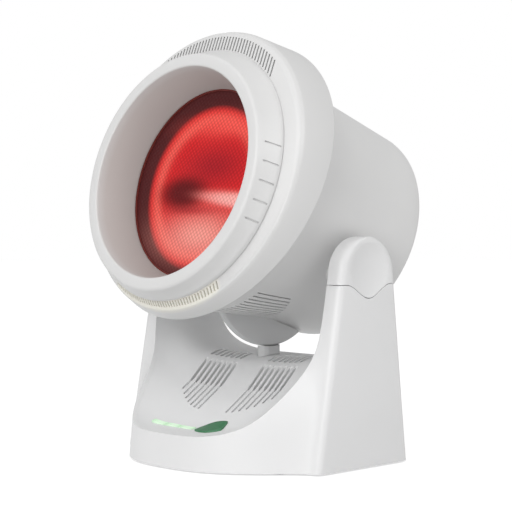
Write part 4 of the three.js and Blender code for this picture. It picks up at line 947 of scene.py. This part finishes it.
# %% Deck panel
DECK_INSET, DECK_FOOT = 2.84, 1.6
DECK_SIDE, DECK_WALL = 2.6, 3.2
SLOT_PITCH, SLOT_START, SLOT_COUNT = 5.08, 14, 7
SLOT_WIDTH, GROOVE_WIDTH, GROOVE_DEPTH = 2.8, 2.3, 1.3
SLOT_RUNS = ((17.8, 33.9), (36.9, 50))
GROOVE_FRONT, GROOVE_FAN, GROOVE_REAR = -4, 13, 19
CUT_MIDDLE, CUT_HEIGHT = 50, 60
HOLE_LOW, HOLE_HIGH = 5, 60
LEAF_GAP = 0.3
STRIP_START, STRIP_END, STRIP_DEPTH = -36, 5.5, -25
STRIP_SIZE = (42.1, 4)
BUSH_RADIUS, BUSH_REACH = 13.3, 99


def lengthwise(x, low, high):
    return Vector((x, low, CUT_MIDDLE)), Vector((x, high, CUT_MIDDLE)), Vector((0, 0, 1))


slot_places = [(side * (SLOT_START + SLOT_PITCH * i), i) for side in (1, -1) for i in range(SLOT_COUNT)]
deck = stand_envelope(DECK_INSET, DECK_FOOT)
boolean(deck, scoop(DECK_SIDE, DECK_WALL), "INTERSECT")
boolean(deck, scoop(0, 0))
through = [lengthwise(x, low, high) for x, i in slot_places for low, high in SLOT_RUNS]
boolean(deck, slot_boxes(through, SLOT_WIDTH, CUT_HEIGHT))
grooves = []
for x, i in slot_places:
    low = GROOVE_FRONT + GROOVE_FAN * (i / (SLOT_COUNT - 1)) ** 1.6
    grooves.append(lengthwise(x, low, GROOVE_REAR))
groove_cutter = slot_boxes(grooves, GROOVE_WIDTH, CUT_HEIGHT)
boolean(groove_cutter, scoop(GROOVE_DEPTH, GROOVE_DEPTH), "INTERSECT")
boolean(deck, groove_cutter)
boolean(deck, object_of(leaf_prism(LEAF_GAP, HOLE_LOW, HOLE_HIGH), "leaf_hole"))
strip_middle = ((STRIP_START + STRIP_END) / 2, STRIP_DEPTH, (HOLE_LOW + HOLE_HIGH) / 2)
boolean(deck, block((*STRIP_SIZE, HOLE_HIGH - HOLE_LOW), strip_middle))
bush_hole = rod(BUSH_RADIUS, -BUSH_REACH, BUSH_REACH, 64)
bush_hole.data.transform(Matrix.Translation(pivot) @ ACROSS)
boolean(deck, bush_hole)
deck.name = "deck"
settle(deck, stand_frame, "stand", ["deck_panel"], white_deck, 30)

# %% [markdown]
# The neck block stands on the deck. It is a short bar with round ends, whose foot takes the deck's
# curve and whose top is hollowed to the radius of the keel.

# %% Neck block
BAR_RADIUS, BAR_FRONT, BAR_REAR = 5, 47, 55
BAR_LOW, BAR_RUN = 35, 60
BAR_END_STEPS = 12
ABOVE_DECK = -0.3

ends = arc(0, BAR_FRONT, BAR_RADIUS, 180, 180, BAR_END_STEPS, BAR_LOW)
ends += arc(0, BAR_REAR, BAR_RADIUS, 0, 180, BAR_END_STEPS, BAR_LOW)
neck_block = object_of(prism(ends, (0, 0, BAR_RUN)), "neck")
boolean(neck_block, scoop(ABOVE_DECK, ABOVE_DECK), "INTERSECT")
keel_space = rod(KEEL_RADIUS + RUNNING_GAP, -90, 90, FINE_STEPS)
keel_space.data.transform(Matrix.Translation(pivot) @ ACROSS)
boolean(neck_block, keel_space)
settle(neck_block, stand_frame, "stand", ["neck_block"], shaded_white, 30)

# %% [markdown]
# The button is made of satin green plastic and stands a little proud of the deck. Its top is the
# deck's own curve, lifted, and a small bevel catches the light round its edge.

# %% Button
BUTTON_LOW, BUTTON_LIFT, BUTTON_EDGE = 18, -1.2, 0.4

green_plastic = moulded("green_button", (0.045, 0.19, 0.085), 0.42, grain=0.1)
button = object_of(leaf_prism(0, BUTTON_LOW, HOLE_HIGH), "button")
boolean(button, scoop(BUTTON_LIFT, BUTTON_LIFT))
edge = button.modifiers.new("edge", "BEVEL")
edge.width = BUTTON_EDGE
edge.segments = 2
edge.limit_method = "ANGLE"
edge.angle_limit = math.radians(50)
baked(button)
settle(button, stand_frame, "button", ["power_button"], green_plastic, 40)

# %% [markdown]
# The filter glass is a disc of deep red glass with a finely dimpled back, and behind it the lamp is
# on. What one sees is the reflector as a bright ring, the tube as a pale bar, the dark end of the
# tube, and a broad glow below. A real lamp behind real glass would need far too many samples, so the
# glow is painted into the glass as emission, in the glass's own plane, and stays put from any side.

# %% Brushes for the glow
def shares(tree, x, z, centre, radii):
    """Distances from a centre, each as a share of its radius."""
    return [
        reckoned(tree, "DIVIDE", reckoned(tree, "SUBTRACT", value, middle), radius)
        for value, middle, radius in zip((x, z), centre, radii)
    ]


def soft_spot(tree, x, z, centre, radii, power):
    """Bell-shaped spot: 1 in its middle, fading to 0 over its radii."""
    distance = reckoned(tree, "POWER", squares(tree, *shares(tree, x, z, centre, radii)), power)
    return reckoned(tree, "EXPONENT", times(tree, distance, -1))


def paint(tree, under, mask, colour, amount):
    """Lays a colour over another where a mask says so."""
    return tinted(tree, times(tree, mask, amount), under, colour)


print("two brushes are ready")

# %% [markdown]
# The reflector's ring is a narrow bell curve of the distance from the middle of the glow. The other
# lights and darks are soft spots, from the lowest layer to the highest: middle, radii, sharpness,
# colour and strength. The tube hangs a little aslant, so its bar is painted in a leaning height.

# %% Glow of the filter glass
GLOW_CENTRE, GLOW_RADII = (2.5, -2.5), (54, 55)
BORDER_COLOUR, FIELD_COLOUR, RING_COLOUR = (0.036, 0.012, 0.013), (0.66, 0.018, 0.02), (0.9, 0.13, 0.1)
RING_SHARE, RING_WIDTH = 0.87, 0.09
GLOW_SPOTS = [
    ((8, 12), (32, 15), 1.0, (0.33, 0.008, 0.016), 0.9),
    ((16, 40), (34, 7), 1.0, (0.9, 0.1, 0.08), 0.8),
    ((6, -36), (36, 15), 1.0, (0.92, 0.37, 0.31), 0.9),
    ((-6, -19), (24, 3), 1.0, (0.42, 0.02, 0.025), 0.6),
    ((-18, -6.5), (24, 12), 2, (0.06, 0.003, 0.005), 0.97),
]
BAR_SLANT = 0.1
BAR_SPOTS = [
    ((40, -8.5), (42, 6.5), 2, (0.84, 0.17, 0.15), 0.85),
    ((46, -8.5), (40, 4.8), 2, (0.98, 0.46, 0.42), 0.95),
]


def painted_glow(tree, x, z):
    radius = from_axis(tree, *shares(tree, x, z, GLOW_CENTRE, GLOW_RADII))
    colour = tinted(tree, spread(tree, radius, 1, 0, 0.97, 1.055), BORDER_COLOUR, FIELD_COLOUR)
    off_ring = reckoned(tree, "DIVIDE", reckoned(tree, "SUBTRACT", radius, RING_SHARE), RING_WIDTH)
    ring = reckoned(tree, "EXPONENT", times(tree, times(tree, off_ring, off_ring), -1))
    colour = paint(tree, colour, ring, RING_COLOUR, 0.8)
    bar_z = reckoned(tree, "ADD", z, times(tree, x, BAR_SLANT))
    for height, spots in ((z, GLOW_SPOTS), (bar_z, BAR_SPOTS)):
        for centre, radii, power, layer, amount in spots:
            mask = soft_spot(tree, x, height, centre, radii, power)
            colour = paint(tree, colour, mask, layer, amount)
    return colour


print("glow:", len(GLOW_SPOTS) + len(BAR_SPOTS), "spots over a ring")

# %% [markdown]
# The dimples are a slanted grid of cells, brighter in their middles, and the same pattern drives a
# small bump. The camera sees nearly all of the glow, but only a quarter of it falls on the bezel, so
# the white plastic does not turn red.

# %% Filter glass
DIMPLE_SCALE, DIMPLE_UNEVENNESS = 0.4, 0.1
DIMPLE_SLANT = math.radians(38)
DIMPLE_HEIGHT = 0.3 * MM
GLOW_SEEN, GLOW_CAST = 0.95, 0.25
GLASS_RADIUS, GLASS_FRONT, GLASS_EDGE = 68.4, 32.2, 0.35


def glowing_glass():
    material, tree, shader, place = new_material("red_glass")
    plane, x, y, z = glass_plane(tree, place)
    slanted = add(tree, "Mapping", {"Vector": plane, "Rotation": (0, DIMPLE_SLANT, 0)}).outputs["Vector"]
    cells = {"Vector": slanted, "Scale": DIMPLE_SCALE, "Randomness": DIMPLE_UNEVENNESS}
    dimples = add(tree, "TexVoronoi", cells).outputs["Distance"]
    camera_ray = add(tree, "LightPath", {}).outputs["Is Camera Ray"]
    beads = spread(tree, dimples, 1.22, 0.72, 0.1, 0.62)
    feed(tree, shader, {
        "Emission Color": scaled(tree, painted_glow(tree, x, z), beads),
        "Emission Strength": spread(tree, camera_ray, GLOW_CAST, GLOW_SEEN, 0, 1),
        "Base Color": (0.05, 0.006, 0.006),
        "Roughness": 0.12,
        "Specular IOR Level": 0.06,
    })
    bumped(tree, shader, dimples, 0.5, DIMPLE_HEIGHT)
    return material


red_glass = glowing_glass()
glass_points = [(0, GLASS_FRONT), (GLASS_RADIUS, GLASS_FRONT), (GLASS_RADIUS, GLASS_REAR), (0, GLASS_REAR)]
glass = object_of(turned(glass_points, [0, GLASS_EDGE, GLASS_EDGE, 0]), "glass")
settle(glass, optics_frame, "head", ["filter_glass"], red_glass, 30)

# %% [markdown]
# The strip beside the button is a milky light guide with a small lamp under each of its windows. The
# light fades between the windows, so its glow is a wave along the strip.

# %% Light strip
WINDOW_PITCH = 13.83
STRIP_HEIGHT = 25
STRIP_GLOW = 0.5


def light_guide():
    material, tree, shader, place = new_material("light_guide")
    start = stand_frame @ Vector((STRIP_START, STRIP_DEPTH, STRIP_HEIGHT))
    along = measured(tree, place, start, (MM * WINDOW_PITCH, MM, MM))[1]
    wave = reckoned(tree, "ABSOLUTE", reckoned(tree, "SINE", times(tree, along, math.pi)))
    feed(tree, shader, {
        "Emission Color": tinted(tree, wave, (0.34, 0.62, 0.34), (0.72, 0.98, 0.7)),
        "Emission Strength": STRIP_GLOW,
        "Base Color": (0.42, 0.52, 0.42),
        "Roughness": 0.35,
    })
    bumped(tree, shader, noise(tree, place, 900), 0.1, GRAIN_HEIGHT)
    return material


guide = light_guide()
print("light strip has", round((STRIP_END - STRIP_START) / WINDOW_PITCH), "windows")

# %% [markdown]
# The small parts that stay as the CAD model made them still get their own finishes: plated steel with
# a brushed streak, bright aluminium, steatite, rubber, lacquered board and so on. Brushing is a noise
# pattern that is drawn out along one direction.

# %% Small finishes
def metal(name, colour, roughness, streak):
    material, tree, shader, place = new_material(name)
    stretched = add(tree, "Mapping", {"Vector": place, "Scale": (streak, 1, 1)})
    lines = noise(tree, stretched.outputs["Vector"], 300, 3)
    feed(tree, shader, {
        "Base Color": tinted(tree, lines, colour, tuple(channel * 0.9 for channel in colour)),
        "Roughness": spread(tree, lines, roughness - 0.08, roughness + 0.1),
        "Metallic": 1,
    })
    bumped(tree, shader, lines, 0.08, 0.1 * MM)
    return material


finishes = [
    white_housing, white_head, white_deck, grey_base, guide, green_plastic, red_glass,
    moulded("black_rubber", (0.03, 0.03, 0.032), 0.75, 1800, 0.4),
    moulded("red_silicone", (0.16, 0.02, 0.015), 0.55, 1800, 0.2),
    metal("bright_aluminium", (0.86, 0.86, 0.87), 0.28, 0.05),
    metal("plated_steel", (0.62, 0.63, 0.65), 0.35, 6),
    moulded("quartz", (0.9, 0.84, 0.76), 0.12, 900, 0.02, 0.5),
    moulded("ceramic", (0.78, 0.75, 0.68), 0.3, 1500, 0.1, 0.3),
    moulded("board_laminate", (0.02, 0.13, 0.05), 0.35, 2200, 0.15),
    moulded("transformer_core", (0.42, 0.3, 0.06), 0.5, 1200, 0.3),
    moulded("black_bakelite", (0.02, 0.02, 0.022), 0.3, 2000, 0.1),
]
# The CAD model's own materials have these names too, so Blender numbers the new ones: quartz.001.
finish_of = {material.name.partition(".")[0]: material for material in finishes}
for subpart in frame["record"]["subparts"]:
    node = frame["nodes"][subpart["node"]]
    node.data.materials.clear()
    node.data.materials.append(finish_of[subpart["material_slot"]])

# %% [markdown]
# The floor is a large white sheet. It gives off some light of its own, but only towards the camera and
# into reflections. So it vanishes in the background and still keeps the soft shadow under the stand.

# %% Floor
FLOOR_HALF = 4
FLOOR_LIFT = 0.62


def floor_material():
    material, tree, shader, place = new_material("floor_paper")
    tone = tinted(tree, noise(tree, place, 3), (0.6, 0.6, 0.6), (0.62, 0.62, 0.62))
    feed(tree, shader, {"Base Color": tone, "Roughness": 0.9, "Specular IOR Level": 0.1})
    rays = add(tree, "LightPath", {}).outputs
    seen = reckoned(tree, "MAXIMUM", rays["Is Camera Ray"], rays["Is Glossy Ray"])
    dark, lift = [
        add(tree, "Emission", {"Color": (1, 1, 1), "Strength": strength}).outputs["Emission"]
        for strength in (0, FLOOR_LIFT)
    ]
    chosen = add(tree, "MixShader", {0: seen, 1: dark, 2: lift}).outputs["Shader"]
    total = add(tree, "AddShader", {0: shader.outputs["BSDF"], 1: chosen})
    feed(tree, tree.nodes["Material Output"], {"Surface": total.outputs["Shader"]})
    return material


sheet = bmesh.new()
bmesh.ops.create_grid(sheet, x_segments=2, y_segments=2, size=FLOOR_HALF)
floor = object_of(sheet, "floor")
floor.data.materials.append(floor_material())
print("floor", 2 * FLOOR_HALF, "m wide")

# %% [markdown]
# Three large round soft lights stand in front, at the side and low down, all aimed at the lamp. A
# large light gives soft shadows and long, gentle highlights on satin plastic.

# %% Soft lights
SOFTBOXES = [
    ("key_softbox", (0.2, -1.5, 1.4), (0, 0, 0.15), 1.2, 8),
    ("side_softbox", (1.6, 0.1, 1.3), (0, 0, 0.15), 1.0, 6),
    ("low_softbox", (0.7, -1.5, 0.4), (0, 0, 0.08), 0.9, 7),
]
for name, location, target, size, power in SOFTBOXES:
    data = bpy.data.lights.new(name, "AREA")
    data.shape = "DISK"
    data.size = size
    data.energy = power
    lamp = linked(name, data)
    lamp.location = location
    aim = Vector(target) - Vector(location)
    lamp.rotation_euler = aim.to_track_quat("-Z", "Y").to_euler()
    print(name, power, "W,", size, "m across")

# %% [markdown]
# The world is a plain pale dome that fills the shadows. The camera sees it pure white, but only two
# thirds of that light reach the lamp, so that its pale surfaces keep their shape.

# %% Pale dome
DOME_FILL, DOME_SEEN = 0.65, 1

world = bpy.data.worlds.new("pale_dome")
world.use_nodes = True
bpy.context.scene.world = world
sky = world.node_tree
dome = sky.nodes["Background"]
feed(sky, dome, {"Color": (1, 1, 1), "Strength": DOME_FILL})
shown = add(sky, "Background", {"Color": (1, 1, 1), "Strength": DOME_SEEN})
camera_ray = add(sky, "LightPath", {}).outputs["Is Camera Ray"]
pick = add(sky, "MixShader", {0: camera_ray, 1: dome.outputs["Background"], 2: shown.outputs["Background"]})
feed(sky, sky.nodes["World Output"], {"Surface": pick.outputs["Shader"]})
bpy.context.scene.view_settings.view_transform = "Standard"
print("dome fills with", DOME_FILL, "and shows as", DOME_SEEN)
